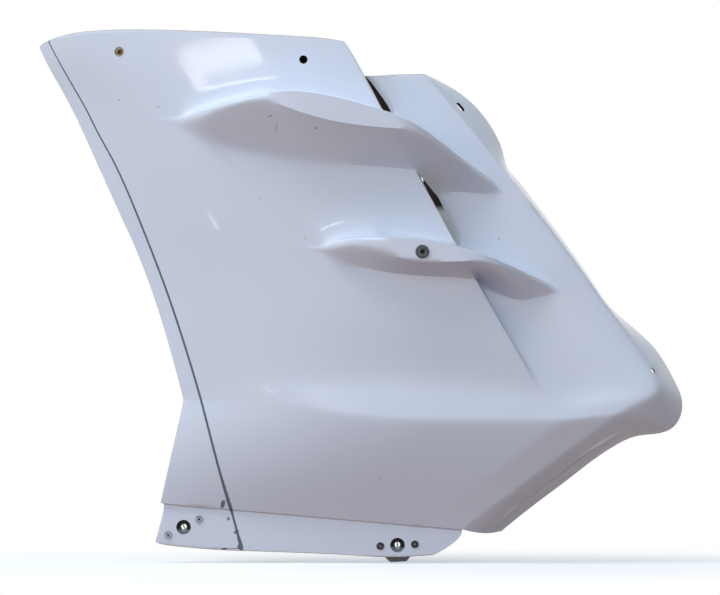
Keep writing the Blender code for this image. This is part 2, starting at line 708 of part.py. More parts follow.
def cut_shell(shell):
    """Cuts all holes square to the face where each one is, and returns the seats of the hardware."""
    bpy.context.view_layer.update()
    sheet = shell.evaluated_get(bpy.context.evaluated_depsgraph_get())
    deep = 4 * WALL
    cuts, seats = [], {}

    def bore(spot, bm, turn=0.0, lift=0.0):
        place, normal = face_at(sheet, *spot)
        cuts.append((bm, place + normal * lift, turn, -normal))
        return place, normal

    for side in RECEPTACLES:
        bore(fastener_place(side), rod(FASTENER_HOLE, deep))
        for spot in rivet_places(side):
            bore(spot, rod(RIVET_SHANK + 2 * GAP, deep, 12))
    for side, (spot, across) in UPPER_HOLES.items():
        place, normal = bore(spot, rod(across, deep))
        seats[side] = (back_of(sheet, place, normal), normal)
    place, normal = bore(FIN_SCREW_AT, rod(SCREW_SHANK + 2 * GAP, deep, 16))
    seats["screw"] = (place, normal)
    seats["nut"] = (back_of(sheet, place, normal), normal)
    half, reach = EAR_SLOT[0] / 2, (EAR_SLOT[1] - EAR_SLOT[0]) / 2
    slot = arc(half, -90, 90, 8, (reach, 0)) + arc(half, 90, 270, 8, (-reach, 0))
    bore(EAR_SLOT_AT, prism(slot, -deep, deep), turn=EAR_SLOT_TURN)
    ball = ((DIMPLE / 2) ** 2 + DIMPLE_DEEP**2) / (2 * DIMPLE_DEEP)
    dish = [(ball * math.sin(math.pi * i / 16), -ball * math.cos(math.pi * i / 16)) for i in range(17)]
    bore(DIMPLE_AT, turned(dish, 32), lift=ball - DIMPLE_DEEP)
    bore(DIMPLE_AT, rod(DIMPLE_HOLE, deep, 16))
    for bm, place, turn, aim in cuts:
        stood(combine(shell, bm), place, turn, aim)
    return seats


def rivet(finish, name, spot):
    """Blind rivet: domed head outside, shank through strip and plate, set tail inside, hollow core."""
    head, shank, tail = RIVET_HEAD / 2, RIVET_SHANK / 2, RIVET_TAIL / 2
    top = -GAP - RIVET_HEAD_HIGH
    back = WALL + 2 * GAP + PLATE
    profile = [
        (0, top + RIVET_HEAD_HIGH * 0.8), (RIVET_CORE, top + RIVET_HEAD_HIGH * 0.8), (RIVET_CORE * 1.4, top),
        (head * 0.7, top + RIVET_HEAD_HIGH * 0.25), (head, -GAP), (shank, -GAP), (shank, back),
        (tail, back), (tail, back + RIVET_TAIL_LONG), (0, back + RIVET_TAIL_LONG),
    ]
    return stood(new_object(name, turned(profile, 12), finish), (spot[0], 0, spot[1]))


def receptacle_plate(finish, side):
    """Stamped plate: two riveted ears, a body, and a drawn cup that takes the quarter-turn stud."""
    half, wide, tall, corner = RIVET_PITCH / 2, BODY_WIDE / 2, BODY_TALL / 2, 3.0
    outline = (
        arc(EAR_RADIUS, -65, 65, 4, (half, 0)) + arc(corner, 30, 90, 1, (wide - corner, tall - corner))
        + arc(corner, 90, 150, 1, (corner - wide, tall - corner)) + arc(EAR_RADIUS, 115, 245, 4, (-half, 0))
        + arc(corner, 210, 270, 1, (corner - wide, corner - tall))
        + arc(corner, 270, 330, 1, (wide - corner, corner - tall))
    )
    near = WALL + GAP
    far = near + PLATE
    mouth, base, hole = CUP_MOUTH / 2, CUP_BASE / 2, CUP_OPENING / 2
    plate = new_object(f"receptacle_plate_{side}", prism(outline, near, far), finish)
    x, z = fastener_place(side)
    turn = -RECEPTACLES[side][1]
    cup = ring(
        [(mouth, near + 0.2), (base, far + CUP_DEEP - PLATE), (hole, far + CUP_DEEP - PLATE),
         (hole, far + CUP_DEEP), (base + PLATE, far + CUP_DEEP), (mouth + PLATE, far - 0.2)], 16,
    )
    helpers = [combine(plate, rod(2 * mouth + 0.4, 4 * WALL, 16)), combine(plate, cup, "UNION")]
    stood(plate, (x, 0, z), turn)
    for helper in helpers:
        stood(helper, (x, 0, z), turn)
    for spot in rivet_places(side):
        stood(combine(plate, rod(RIVET_SHANK + 2 * GAP, 4 * WALL, 10)), (spot[0], 0, spot[1]))
    return plate


def receptacle_spring(finish, side):
    """Wire that bridges the cup's opening, for the stud's cam to pull against, with its feet on the plate."""
    far = WALL + GAP + PLATE
    low, high = far + GAP + WIRE / 2, far + CUP_DEEP + GAP + WIRE / 2
    foot, knee, crown = CUP_MOUTH / 2 + WIRE_FOOT, CUP_MOUTH / 2 + PLATE + WIRE, CUP_BASE / 2 + PLATE
    path = [(foot, low), (knee + 0.8, low), (knee, low + 1.2), (crown + 1.0, high - 1.2), (crown, high)]
    path += [(-z, y) for z, y in reversed(path)]
    data = bpy.data.curves.new(f"receptacle_spring_{side}", "CURVE")
    data.dimensions = "3D"
    data.bevel_depth = WIRE / 2 * MM
    data.bevel_resolution = 1
    data.use_fill_caps = True
    spline = data.splines.new("POLY")
    spline.points.add(len(path) - 1)
    for point, (z, y) in zip(spline.points, path):
        point.co = (0, y * MM, z * MM, 1)
    spring = bpy.data.objects.new(data.name, data)
    data.materials.append(finish)
    bpy.context.scene.collection.objects.link(spring)
    x, z = fastener_place(side)
    return stood(spring, (x, 0, z), -RECEPTACLES[side][1])


def fin_screw(finish, place, normal):
    """Button-head screw with a hexagon socket, its head on the fin's facet."""
    head, shank = SCREW_HEAD / 2, SCREW_SHANK / 2
    profile = [
        (0, -SCREW_HEAD_HIGH), (head * 0.5, -SCREW_HEAD_HIGH), (head * 0.8, -SCREW_HEAD_HIGH * 0.72),
        (head * 0.96, -SCREW_HEAD_HIGH * 0.3), (head, 0), (shank, 0), (shank, SCREW_LONG - 0.6),
        (shank - 0.6, SCREW_LONG), (0, SCREW_LONG),
    ]
    screw = new_object("fin_screw", turned(profile, 18), finish)
    across = SCREW_SOCKET / math.sqrt(3)
    hexagon = [(across * math.cos(math.tau * i / 6), across * math.sin(math.tau * i / 6)) for i in range(6)]
    socket = combine(screw, prism(hexagon, -SCREW_HEAD_HIGH - 1, SCREW_SOCKET_DEEP - SCREW_HEAD_HIGH))
    seat = place + normal * GAP
    for thing in (screw, socket):
        stood(thing, seat, aim=-normal)
    return screw


def fin_washer(finish, place, normal):
    bore = SCREW_SHANK / 2 + GAP
    loop = [(bore, 0), (WASHER / 2, 0), (WASHER / 2, WASHER_THICK), (bore, WASHER_THICK)]
    washer = new_object("fin_washer", ring(loop, 16), finish)
    return stood(washer, place - normal * GAP, aim=-normal)


def fin_nut(finish, place, normal):
    across = NUT_FLATS / math.sqrt(3)
    hexagon = [(across * math.cos(math.tau * i / 6), across * math.sin(math.tau * i / 6)) for i in range(6)]
    nut = new_object("fin_nut", prism(hexagon, 0, NUT_HIGH), finish)
    seat = place - normal * (2 * GAP + WASHER_THICK)
    stood(nut, seat, aim=-normal)
    stood(combine(nut, rod(SCREW_SHANK + 2 * GAP, 2 * NUT_HIGH, 16)), seat, aim=-normal)
    return nut


def captive_nut(finish, side, place, normal):
    """Blind nut bonded to the inner face behind an upper hole: a flange and a closed barrel."""
    bore, flange, barrel = CAPTIVE_BORE / 2, CAPTIVE_FLANGE / 2, CAPTIVE_BARREL / 2
    profile = [
        (0, CAPTIVE_HIGH - 1.5), (bore, CAPTIVE_HIGH - 1.5), (bore, 0), (flange, 0),
        (flange, CAPTIVE_FLANGE_THICK), (barrel, CAPTIVE_FLANGE_THICK), (barrel, CAPTIVE_HIGH),
        (0, CAPTIVE_HIGH),
    ]
    nut = new_object(f"captive_nut_{side}", turned(profile, 16), finish)
    return stood(nut, place - normal * GAP, aim=-normal)


def main():
    for old in list(bpy.data.objects):
        bpy.data.objects.remove(old)
    paint = material("white gloss paint on glass fibre", (0.72, 0.74, 0.78), 0.2)
    zinc = material("zinc-plated spring steel", (0.55, 0.56, 0.58), 0.35, 1.0)
    alloy = material("aluminium rivet", (0.6, 0.6, 0.62), 0.4, 1.0)
    black = material("black oxide steel", (0.08, 0.08, 0.09), 0.4, 1.0)
    brass = material("brass", (0.5, 0.38, 0.18), 0.4, 1.0)
    shell = make_shell(paint)
    seats = cut_shell(shell)
    for side in RECEPTACLES:
        receptacle_plate(zinc, side)
        receptacle_spring(zinc, side)
        for number, spot in enumerate(rivet_places(side)):
            rivet(alloy, f"rivet_{side}_{'ab'[number]}", spot)
        captive_nut(brass, side, *seats[side])
    fin_screw(black, *seats["screw"])
    fin_washer(zinc, *seats["nut"])
    fin_nut(zinc, *seats["nut"])


main()
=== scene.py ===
"""Looks of a motorbike's fairing side panel: a painted glass-fibre moulding with its fixings.

The shell is a sheet of section rows like that of the solids, made finer. Its outlines and section lines
are those of the solids. The fins' noses are softer than there; the ear's fold, the groove, the facets' ends
and the strip's front corner are sharper; and the vent panel's lip reaches further under the upper fin.
Lengths in the tables are in millimetres, with +Z up, the outer face towards -Y and the bike's front at -X.
"""

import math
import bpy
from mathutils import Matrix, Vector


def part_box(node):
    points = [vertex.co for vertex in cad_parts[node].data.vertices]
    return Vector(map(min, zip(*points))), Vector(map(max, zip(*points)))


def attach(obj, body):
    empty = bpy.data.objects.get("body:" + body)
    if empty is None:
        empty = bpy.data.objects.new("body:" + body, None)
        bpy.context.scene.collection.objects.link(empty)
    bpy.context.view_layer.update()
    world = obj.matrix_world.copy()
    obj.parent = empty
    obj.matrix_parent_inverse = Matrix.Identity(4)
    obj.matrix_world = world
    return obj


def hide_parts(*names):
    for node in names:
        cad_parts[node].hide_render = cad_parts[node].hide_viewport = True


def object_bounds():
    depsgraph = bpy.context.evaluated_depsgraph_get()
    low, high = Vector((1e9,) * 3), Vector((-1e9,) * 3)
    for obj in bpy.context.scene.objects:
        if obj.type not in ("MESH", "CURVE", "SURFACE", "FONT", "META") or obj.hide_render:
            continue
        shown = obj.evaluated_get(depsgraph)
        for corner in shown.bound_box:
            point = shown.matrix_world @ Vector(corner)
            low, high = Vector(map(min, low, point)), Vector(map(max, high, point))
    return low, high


bl_info = {
    "name": "Fairing Side Panel",
    "version": (1, 0, 0),
    "blender": (4, 5, 0),
    "location": "3D View > Sidebar > Fairing",
    "description": "Makes the painted shell of a fairing side panel, its fixings and its stage",
    "category": "Add Mesh",
}

import bmesh
import bpy
import numpy as np
from bpy.props import FloatProperty, FloatVectorProperty, IntProperty, PointerProperty
from mathutils import Matrix, Quaternion, Vector
from mathutils.bvhtree import BVHTree
from mathutils.interpolate import poly_3d_calc
from mathutils.kdtree import KDTree

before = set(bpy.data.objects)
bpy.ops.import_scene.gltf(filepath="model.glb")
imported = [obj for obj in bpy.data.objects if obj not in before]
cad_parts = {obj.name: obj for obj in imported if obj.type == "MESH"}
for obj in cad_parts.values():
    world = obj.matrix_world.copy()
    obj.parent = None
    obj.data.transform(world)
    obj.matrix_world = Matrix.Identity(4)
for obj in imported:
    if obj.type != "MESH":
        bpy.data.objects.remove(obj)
CAD_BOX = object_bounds()

MM = 0.001

# Shell laminate and its joggled strip
JOGGLE_STEP = 3.0
JOGGLE_RUN = 1.6
STRIP_TILT = math.radians(-4.8)
FASTENER_SPACING = 216.4
REACH = FASTENER_SPACING / 2

# Outlines of the shell in the plane of the strip, as (x, z)
FRONT_EDGE = [(-253.8, 495), (-252.5, 488.5), (-236.5, 461), (-218, 426), (-181, 345), (-144.2, 262),
              (-121, 190), (-108, 140)]
TRAILING_EDGE = [(55, 497), (75, 461), (126, 367), (187, 256), (220, 198), (262, 128)]
TOP_EDGE = [(-252.5, 494), (-244, 499.5), (-227, 505), (-200, 508.5), (-160, 509), (-90, 507), (-10, 502.5),
            (35, 500), (57, 496.5)]
RECESS_TOP = [(76, 462), (110, 464.5), (139, 464.8)]
RECESS_FOLD = [(139, 460), (206, 379), (258, 313), (314, 237), (344, 193), (371, 151)]
RAMP_CORNER = (364, 141)
BELLY_TOP_CORNER = (325, 122)
SEAM_ENDS = [(-131, 33.5), (173, 7)]
STRIP_NOTCH = 4.5
STRIP_FRONT_END = [(-REACH - 21.8, 17), (-REACH - 28.8, -7)]
STRIP_REAR_END = [(REACH + 62.8, -3), (REACH + 38.8, -19)]
STRIP_BOTTOM = [STRIP_FRONT_END[1], (4 - REACH, -13), (-30, -15.5), (50, -18.6), (REACH - 8.2, -21.5),
                STRIP_REAR_END[1]]

# Gap seen between trailing edge and vent panel, by height
VENT_GAP = [(128, 5), (150, 3.5), (200, 2), (256, 2), (290, 3), (318, 4), (345, 7), (432, 6.5),
            (461, 1.5)]

# How proud the skin stands, by height: front edge, soft ridge and trailing edge
EDGE_PROUD = [(120, 12), (200, 16), (300, 16), (430, 12), (495, 9)]
RIDGE_PROUD = [(120, 38), (200, 39), (300, 39), (430, 33), (495, 29)]
TRAIL_PROUD = [(120, 49), (200, 54), (292, 58), (367, 57), (430, 54), (497, 50)]
RIDGE_SHARE = [(120, 0.255), (218, 0.28), (298, 0.26), (423, 0.17), (495, 0.12)]
EDGE_ROLL = 4.0
EDGE_ROLL_SHARE = 0.2
SKIN_CROWN = 4.5
FOLD_PROUD = [(144, 39), (160, 33), (193, 30), (237, 28), (313, 26), (379, 24), (460, 22)]
VENT_DEPTH = [(128, 0.4), (150, 3.5), (200, 15), (256, 27), (290, 29), (345, 30), (461, 30)]

# Fins: the lines of top root, ridge, facet foot and lower root, as (x, z); by x, how far the fin rises over
# the skin and how proud it is as it falls to its tip; how proud its facet is; and the columns where its
# edges and its facet begin
UPPER_FIN = {
    "top": [(-250, 436), (-150, 429), (-112, 423), (-102, 425), (-75, 432), (-41, 440), (-10, 446),
            (5, 447.5), (29, 445), (50, 440), (89, 428), (125, 416), (153, 394), (176, 377),
            (199, 362.5), (206, 359), (240, 366)],
    "ridge": [(-250, 426), (-150, 423), (-112, 420.5), (-102, 425), (-75, 431.5), (-41, 439), (-10, 445),
              (5, 446.5), (29, 444), (50, 438.5), (89, 427), (125, 415), (153, 393), (176, 376),
              (199, 360.5), (205, 355), (240, 354)],
    "foot": [(-250, 414), (-150, 417), (-112, 416.5), (-102, 414.5), (-75, 425), (-41, 435), (-14, 438),
             (-2, 430), (10, 422.5), (36, 414.5), (73, 410), (96, 408.5), (126, 406), (153, 388),
             (176, 371.5), (199, 356), (205, 351), (240, 342)],
    "root": [(-250, 400), (-150, 409), (-112, 413.5), (-102, 410), (-90, 399), (-66, 393), (-41, 385),
             (-9, 380), (29, 374.5), (90, 371), (123, 369), (144, 345), (175, 347), (191, 344.5),
             (205, 346), (240, 330)],
    "rise": [(-106.5, 0), (-98, 10), (-75, 21), (-41, 34), (-12, 47), (30, 75)],
    "fall": [(125, 96), (153, 73), (176, 53), (199, 33), (206, 25), (260, -60)],
    "facet": 96.0,
    "nose": 5,
    "facet_end": 8,
}
LOWER_FIN = {
    "top": [(-180, 320), (-50, 306), (32, 294), (42, 299), (75, 301), (106, 301.5), (126, 300),
            (150, 296.5), (165, 293), (190, 286.5), (222, 272.5), (252, 259.5), (264, 256), (320, 262)],
    "ridge": [(-180, 311), (-50, 301), (32, 291.5), (42, 299), (75, 300.5), (106, 300.5), (126, 299),
              (150, 295.5), (165, 292), (190, 285.3), (222, 271.3), (252, 258.3), (264, 252), (320, 250)],
    "foot": [(-180, 300), (-50, 296), (32, 288.5), (42, 287), (60, 293), (75, 295), (92, 290),
             (102, 281.5), (122, 276.5), (150, 275.8), (181, 277), (192, 278), (222, 267), (252, 255),
             (264, 249), (320, 238)],
    "root": [(-180, 289), (-50, 290), (32, 286), (42, 281), (55, 274.5), (72, 270), (90, 266),
             (117, 263), (150, 261.6), (186, 258.5), (207, 226), (222, 231.5), (252, 243), (264, 245),
             (320, 224)],
    "rise": [(32, 0), (40, 9), (60, 18), (75, 24), (98, 37), (140, 48)],
    "fall": [(190, 88), (222, 62), (252, 37), (264, 26), (320, -60)],
    "facet": 88.0,
    "nose": 6,
    "facet_end": 8,
}
FIN_LINES = ("top", "ridge", "foot", "root")

# Flare above the belly crease, as (x, z), and how proud each line stands, as (x, proud)
FLARE = [(-110, 152), (-15, 161), (50, 163), (140, 160), (200, 156), (250, 149), (262, 143), (330, 153),
         (371, 151)]
RAMP = [(-108, 144), (-14, 148), (50, 144), (140, 139), (250, 135), (264, 131), (330, 139), (364, 141)]
CREASE = [(-107, 137), (-13, 136), (22, 128), (70, 121), (140, 117), (260, 117), (325, 122)]
FLARE_PROUD = [(-110, 13), (-15, 38), (50, 42.5), (140, 45), (250, 46.5), (262, 43), (330, 37), (371, 37)]
RAMP_PROUD = [(-108, 12.5), (-14, 38.5), (50, 45), (140, 49), (250, 49.5), (264, 49), (330, 43), (364, 39)]
CREASE_PROUD = [(-107, 12), (-13, 38), (22, 44), (70, 49), (140, 52), (260, 52), (325, 46)]
BELLY_CROWN = 4.0

# Returns folded back from the right-hand fold: where each row of the shell ends, from the top down to the
# seam as (x, z), and how far that raw edge is set back, by height on the fold and by share of the belly
RAW_EDGE = [(141, 463), (180.5, 436.5), (211.5, 391.5), (216, 372), (228, 358), (237.5, 345.2), (251, 327.5),
            (276.5, 293.5), (302, 257.2), (308, 248.1), (315.5, 236.8), (328.5, 223), (346, 207.2),
            (367.5, 186), (385.5, 154), (392.8, 133), (382.4, 109.4), (346, 101.6), (310, 82), (277.6, 57),
            (243, 30.5), (213.5, 4)]
RETURN_BACK = [(151, 44), (193, 42), (237, 38), (313, 36), (379, 34), (433, 34), (447, 26), (462, 14)]
BELLY_BACK = [(0, 40), (1, 27)]
RAMP_BACK = 44.0

# How the returns sag, are drawn out, bend and are grooved
SEAM_SAG = 3.0
DRAW_OUT = 0.5
RIM_ROUND = 2.0
RETURN_SHARES = (0.28, 0.53, 0.66, 0.80, 1.0)
RETURN_BEND = 1.5
RETURN_STRAIGHT = 0.45
GROOVE_SHARE = 0.66
GROOVE_DEPTH = [(0, 0), (0.2, 3), (0.4, 5), (0.6, 5), (0.8, 4), (1, 0)]
GROOVE_TOWARDS = (-0.3, -0.4, 0.75)

# Lip of the vent panel: how far it goes back, in and down, and how far its ends go past the fins
LIP_BACK = 13.0
LIP_TUCK = 8.5
LIP_DROP = 1.0
LIP_UP = 18.0
LIP_DOWN = 5.0
LIP_UNDER_FIN = 7.5

# Columns of the shell between its edges
BAND_SHARES = (0.0, 0.2, 1.0)
SKIN_HEIGHTS = (120, 290, 420, 500)
SKIN_SHARES = [(0.12, 0.25, 0.165, 0.14), (0.24, 0.39, 0.208, 0.26), (0.36, 0.432, 0.243, 0.38),
               (0.47, 0.4695, 0.30, 0.49), (0.58, 0.577, 0.43, 0.60), (0.68, 0.711, 0.577, 0.70),
               (0.79, 0.816, 0.66, 0.80), (0.90, 0.912, 0.82, 0.90), (1.0, 1.0, 1.0, 1.0)]
RECESS_HEIGHTS = (120, 250, 355, 460)
RECESS_SHARES = [(0.0, 0.0, 0.0, 0.0), (0.28, 0.22, 0.26, 0.28), (0.55, 0.43, 0.52, 0.55),
                 (0.79, 0.64, 0.77, 0.79), (1.0, 1.0, 1.0, 1.0)]

# How a column's crossing with a line is found: number of steps, and how far each goes
CROSSING_STEPS = 40
CROSSING_EASE = 0.7

# Rows of the shell between its lines
EDGE_ROWS = (0.35, 0.72)
GAP_ROW = 0.5
SIDE_ROWS = (0.27, 0.6)
TURN_ROW = 0.5
BELLY_ROWS = (0.25, 0.5, 0.75)

# How sharp the edge lines are: a fin's lines ahead of its facet, along it and behind it, then the others
FIN_SHARP = {
    "top": (0.15, 0.5, 0.5),
    "ridge": (0.4, 1.0, 0.8),
    "foot": (0.3, 1.0, 0.6),
    "root": (0.9, 0.9, 0.6),
}
TIP_SHARP = 0.6
CREASE_SHARP = 0.3
SEAM_SHARP = 1.0
STEP_SHARP = (0.9, 0.6)
FOLD_SHARP = 0.15
EAR_SHARP = 0.6
GROOVE_SHARP = (0.8, 0.6, 0.9)
CORNER_SHARP = 0.9
FACET_SHARP = 0.6

# Holes in the shell
FASTENER_HOLE = 14.6
UPPER_HOLES = {"front": ((-171, 486.5), 9.6), "rear": ((13.5, 478), 8.4)}
FIN_SCREW_AT = (131.7, 286)
EAR_SLOT_AT = (171, 432)
EAR_SLOT = (6.5, 11.0)
EAR_SLOT_TURN = math.radians(50)
DIMPLE_AT = (365, 168)
DIMPLE = 19.0
DIMPLE_DEEP = 1.8
DIMPLE_HOLE = 6.0

# Fixings
GAP = 0.3
RIVET_PITCH = 34.9
RIVET_SHANK = 3.2
RIVET_HEAD = 7.6
RIVET_HEAD_HIGH = 1.9
RIVET_TAIL = 4.8
RIVET_TAIL_LONG = 3.0
RIVET_CORE = 1.0
PLATE = 1.2
EAR_RADIUS = 5.6
BODY_WIDE = 20.0
BODY_TALL = 34.0
BODY_CORNER = 3.0
CUP_MOUTH = 15.0
CUP_BASE = 9.0
CUP_DEEP = 7.0
CUP_OPENING = 5.5
WIRE = 1.7
WIRE_FOOT = 8.0
RECEPTACLES = {"front": (-0.5, math.radians(26.6)), "rear": (0.5, math.radians(3.0))}
SCREW_SHANK = 6.0
SCREW_HEAD = 13.6
SCREW_HEAD_HIGH = 3.3
SCREW_SOCKET = 4.0
SCREW_SOCKET_DEEP = 2.2
SCREW_LONG = 14.0
THREAD_PITCH = 1.0
THREAD_DEEP = 0.5
WASHER = 12.0
WASHER_THICK = 1.2
NUT_FLATS = 10.0
NUT_HIGH = 5.0
CAPTIVE_FLANGE = 16.0
CAPTIVE_FLANGE_THICK = 1.5
CAPTIVE_BARREL = 9.0
CAPTIVE_HIGH = 9.0
CAPTIVE_BORE = 5.0

# The dark line along the front, as (height, x) and (height, width)
LINE_PATH = [(497.3, -243), (476.7, -232), (452.6, -218.3), (430.7, -205.7), (407.8, -194.2), (372.7, -175.2),
             (299.2, -144), (235, -120), (147.7, -92.6), (60.5, -69.6), (28.4, -60.4), (-13, -49)]
LINE_WIDTH = [(497, 1.1), (430, 1.4), (300, 2.0), (150, 2.2), (60, 2.6), (32, 3.8), (20, 2.2), (4, 2.4),
              (-8, 3.8), (-20, 3.6)]

# How finely the line is sampled, how fast it ends below its lower end and how far a cut edge is looked for
LINE_SAMPLES = 200
LINE_END_FADE = 2
LINE_FAR = 50
EDGE_FAR = 8.0


def linear(code):
    """A colour's sRGB hex code as linear values."""
    parts = [int(code[i:i + 2], 16) / 255 for i in (1, 3, 5)]
    return tuple(v / 12.92 if v <= 0.04045 else ((v + 0.055) / 1.055) ** 2.4 for v in parts)


def mix(a, b, share):
    return a + (b - a) * share


def curve(points):
    """A smooth function through (t, value) points that never overshoots them."""
    t, v = (np.array(column, float) for column in zip(*sorted(points)))
    run, slope = np.diff(t), np.diff(v) / np.diff(t)
    tangent = np.concatenate([slope[:1], np.zeros(len(t) - 2), slope[-1:]])
    for i in range(1, len(t) - 1):
        if slope[i - 1] * slope[i] > 0:
            before, after = 2 * run[i] + run[i - 1], run[i] + 2 * run[i - 1]
            tangent[i] = (before + after) / (before / slope[i - 1] + after / slope[i])

    def value(at):
        i = int(np.clip(np.searchsorted(t, at) - 1, 0, len(t) - 2))
        if at <= t[0] or at >= t[-1]:
            end = 0 if at <= t[0] else -1
            return float(v[end] + tangent[end] * (at - t[end]))
        u = (at - t[i]) / run[i]
        return float(
            v[i] * (1 + 2 * u) * (1 - u) ** 2
            + v[i + 1] * u * u * (3 - 2 * u)
            + run[i] * u * (1 - u) * (tangent[i] * (1 - u) - tangent[i + 1] * u)
        )

    return value


def by_height(points):
    """The x of an outline as a function of height."""
    return curve([(z, x) for x, z in points])


front_edge = by_height(FRONT_EDGE)
trailing_edge = by_height(TRAILING_EDGE)
recess_fold = by_height(RECESS_FOLD)
vent_gap = curve(VENT_GAP)
edge_proud = curve(EDGE_PROUD)
ridge_proud = curve(RIDGE_PROUD)
trail_proud = curve(TRAIL_PROUD)
ridge_share = curve(RIDGE_SHARE)
fold_proud = curve(FOLD_PROUD)
vent_depth = curve(VENT_DEPTH)


def recess_edge(z):
    return trailing_edge(z) + vent_gap(z)


def skin_proud(x, z):
    """How proud the outer skin stands: a turned band along the front edge, then a crowned side."""
    share = (x - front_edge(z)) / (trailing_edge(z) - front_edge(z))
    ridge = ridge_share(z)
    if share < ridge:
        along = share / ridge
        rolled = EDGE_ROLL * (1 - min(along / EDGE_ROLL_SHARE, 1)) ** 2
        return mix(edge_proud(z), ridge_proud(z), along) - rolled
    along = (share - ridge) / (1 - ridge)
    return mix(ridge_proud(z), trail_proud(z), along) + SKIN_CROWN * 4 * along * (1 - along)


def recess_proud(x, z):
    """How proud the vent panel stands, from its edge behind the skin to the right-hand fold."""
    left = trail_proud(z) - vent_depth(z)
    along = (x - recess_edge(z)) / (recess_fold(z) - recess_edge(z))
    return mix(left, fold_proud(z), along)


def fin_proud(fin, x, base):
    """A fin rises from its nose, is cut flat by its facet and falls to its tip."""
    crest = min(curve(fin["rise"])(x) + base, fin["facet"], curve(fin["fall"])(x))
    return max(crest, base)


class Column:
    """One column of the shell: its x by height above the crease, and the surface that it lies on."""

    def __init__(self, place, proud):
        self.place = place
        self.proud = proud


def shell_columns():
    def band(share):
        return Column(
            lambda z: mix(front_edge(z), trailing_edge(z), share * ridge_share(z)), skin_proud
        )

    def side(shares):
        share = curve(list(zip(SKIN_HEIGHTS, shares)))
        return Column(
            lambda z: mix(front_edge(z), trailing_edge(z), mix(ridge_share(z), 1, share(z))), skin_proud
        )

    def recess(shares):
        share = curve(list(zip(RECESS_HEIGHTS, shares)))
        return Column(lambda z: mix(recess_edge(z), recess_fold(z), share(z)), recess_proud)

    return (
        [band(share) for share in BAND_SHARES]
        + [side(shares) for shares in SKIN_SHARES]
        + [recess(shares) for shares in RECESS_SHARES]
    )


COLUMNS = shell_columns()
TRAIL = len(BAND_SHARES) + len(SKIN_SHARES) - 1
RECESS = TRAIL + 1
FOLD = len(COLUMNS) - 1


def on_line(column, line):
    """Where a column crosses a line that is given as height by x, found step by step."""
    z = line(column.place(SKIN_HEIGHTS[1]))
    for _ in range(CROSSING_STEPS):
        z = mix(z, line(column.place(z)), CROSSING_EASE)
    return column.place(z), z


def feature_row(line, fin=None):
    """A row of the shell along a line: the point of each column on it, as (x, proud, z)."""
    row = []
    for column in COLUMNS:
        x, z = on_line(column, curve(line))
        base = column.proud(x, z)
        row.append((x, fin_proud(fin, x, base) if fin else base, z))
    return row


def between(upper, lower, share):
    """A row part of the way between two rows, back on the surface of its column."""
    row = []
    for column, above, below in zip(COLUMNS, upper, lower):
        z = mix(above[2], below[2], share)
        x = column.place(z)
        row.append((x, column.proud(x, z), z))
    return row


def top_row():
    """The trimmed top edge of the skin, and of the vent panel further down."""
    skin, recess = curve(TOP_EDGE), curve(RECESS_TOP)
    row = []
    for index, column in enumerate(COLUMNS):
        line = skin if index <= TRAIL else recess
        x, z = on_line(column, line)
        row.append((x, column.proud(x, z), z))
    return row


def line_row(line, proud, last):
    """A row below the vents: the skin's columns on a line, and the rest shared out as far as a last point."""
    height, stand = curve(line), curve(proud)
    places = [on_line(column, height)[0] for column in COLUMNS[: TRAIL + 1]]
    start = places[-1] + vent_gap(height(places[-1]))
    places += [mix(start, last[0], shares[0]) for shares in RECESS_SHARES[:-1]]
    return [(x, stand(x), height(x)) for x in places] + [(last[0], stand(last[0]), last[1])]


def belly_rows(crease, shares):
    """Rows of the belly facet from the crease down to the seam of the joggle."""
    (x0, z0), (x1, z1) = SEAM_ENDS
    start, end = crease[0][0], crease[-1][0]
    rows = []
    for share in shares:
        row = []
        for x, proud, z in crease:
            across = (x - start) / (end - start)
            foot = (mix(x0, x1, across), mix(z0, z1, across))
            crown = BELLY_CROWN * 4 * share * (1 - share)
            row.append(
                (mix(x, foot[0], share), mix(proud, JOGGLE_STEP, share) + crown, mix(z, foot[1], share))
            )
        rows.append(row)
    return rows


def strip_rows(seam):
    """The joggle and the flat strip below it."""
    bottom = curve(STRIP_BOTTOM)
    start, end = seam[0][0], seam[-1][0]
    notch = seam[0][0] + STRIP_NOTCH
    rows = [[(max(x, notch), 0.0, z - JOGGLE_RUN) for x, _, z in seam]]
    for step in (0, 1):
        (xa, za), (xb, zb) = STRIP_FRONT_END[step], STRIP_REAR_END[step]
        row = []
        for x, _, _ in seam:
            across = (x - start) / (end - start)
            place = mix(xa, xb, across)
            height = mix(za, zb, across) if step == 0 else bottom(place)
            row.append((place, 0.0, height))
        rows.append(row)
    return rows


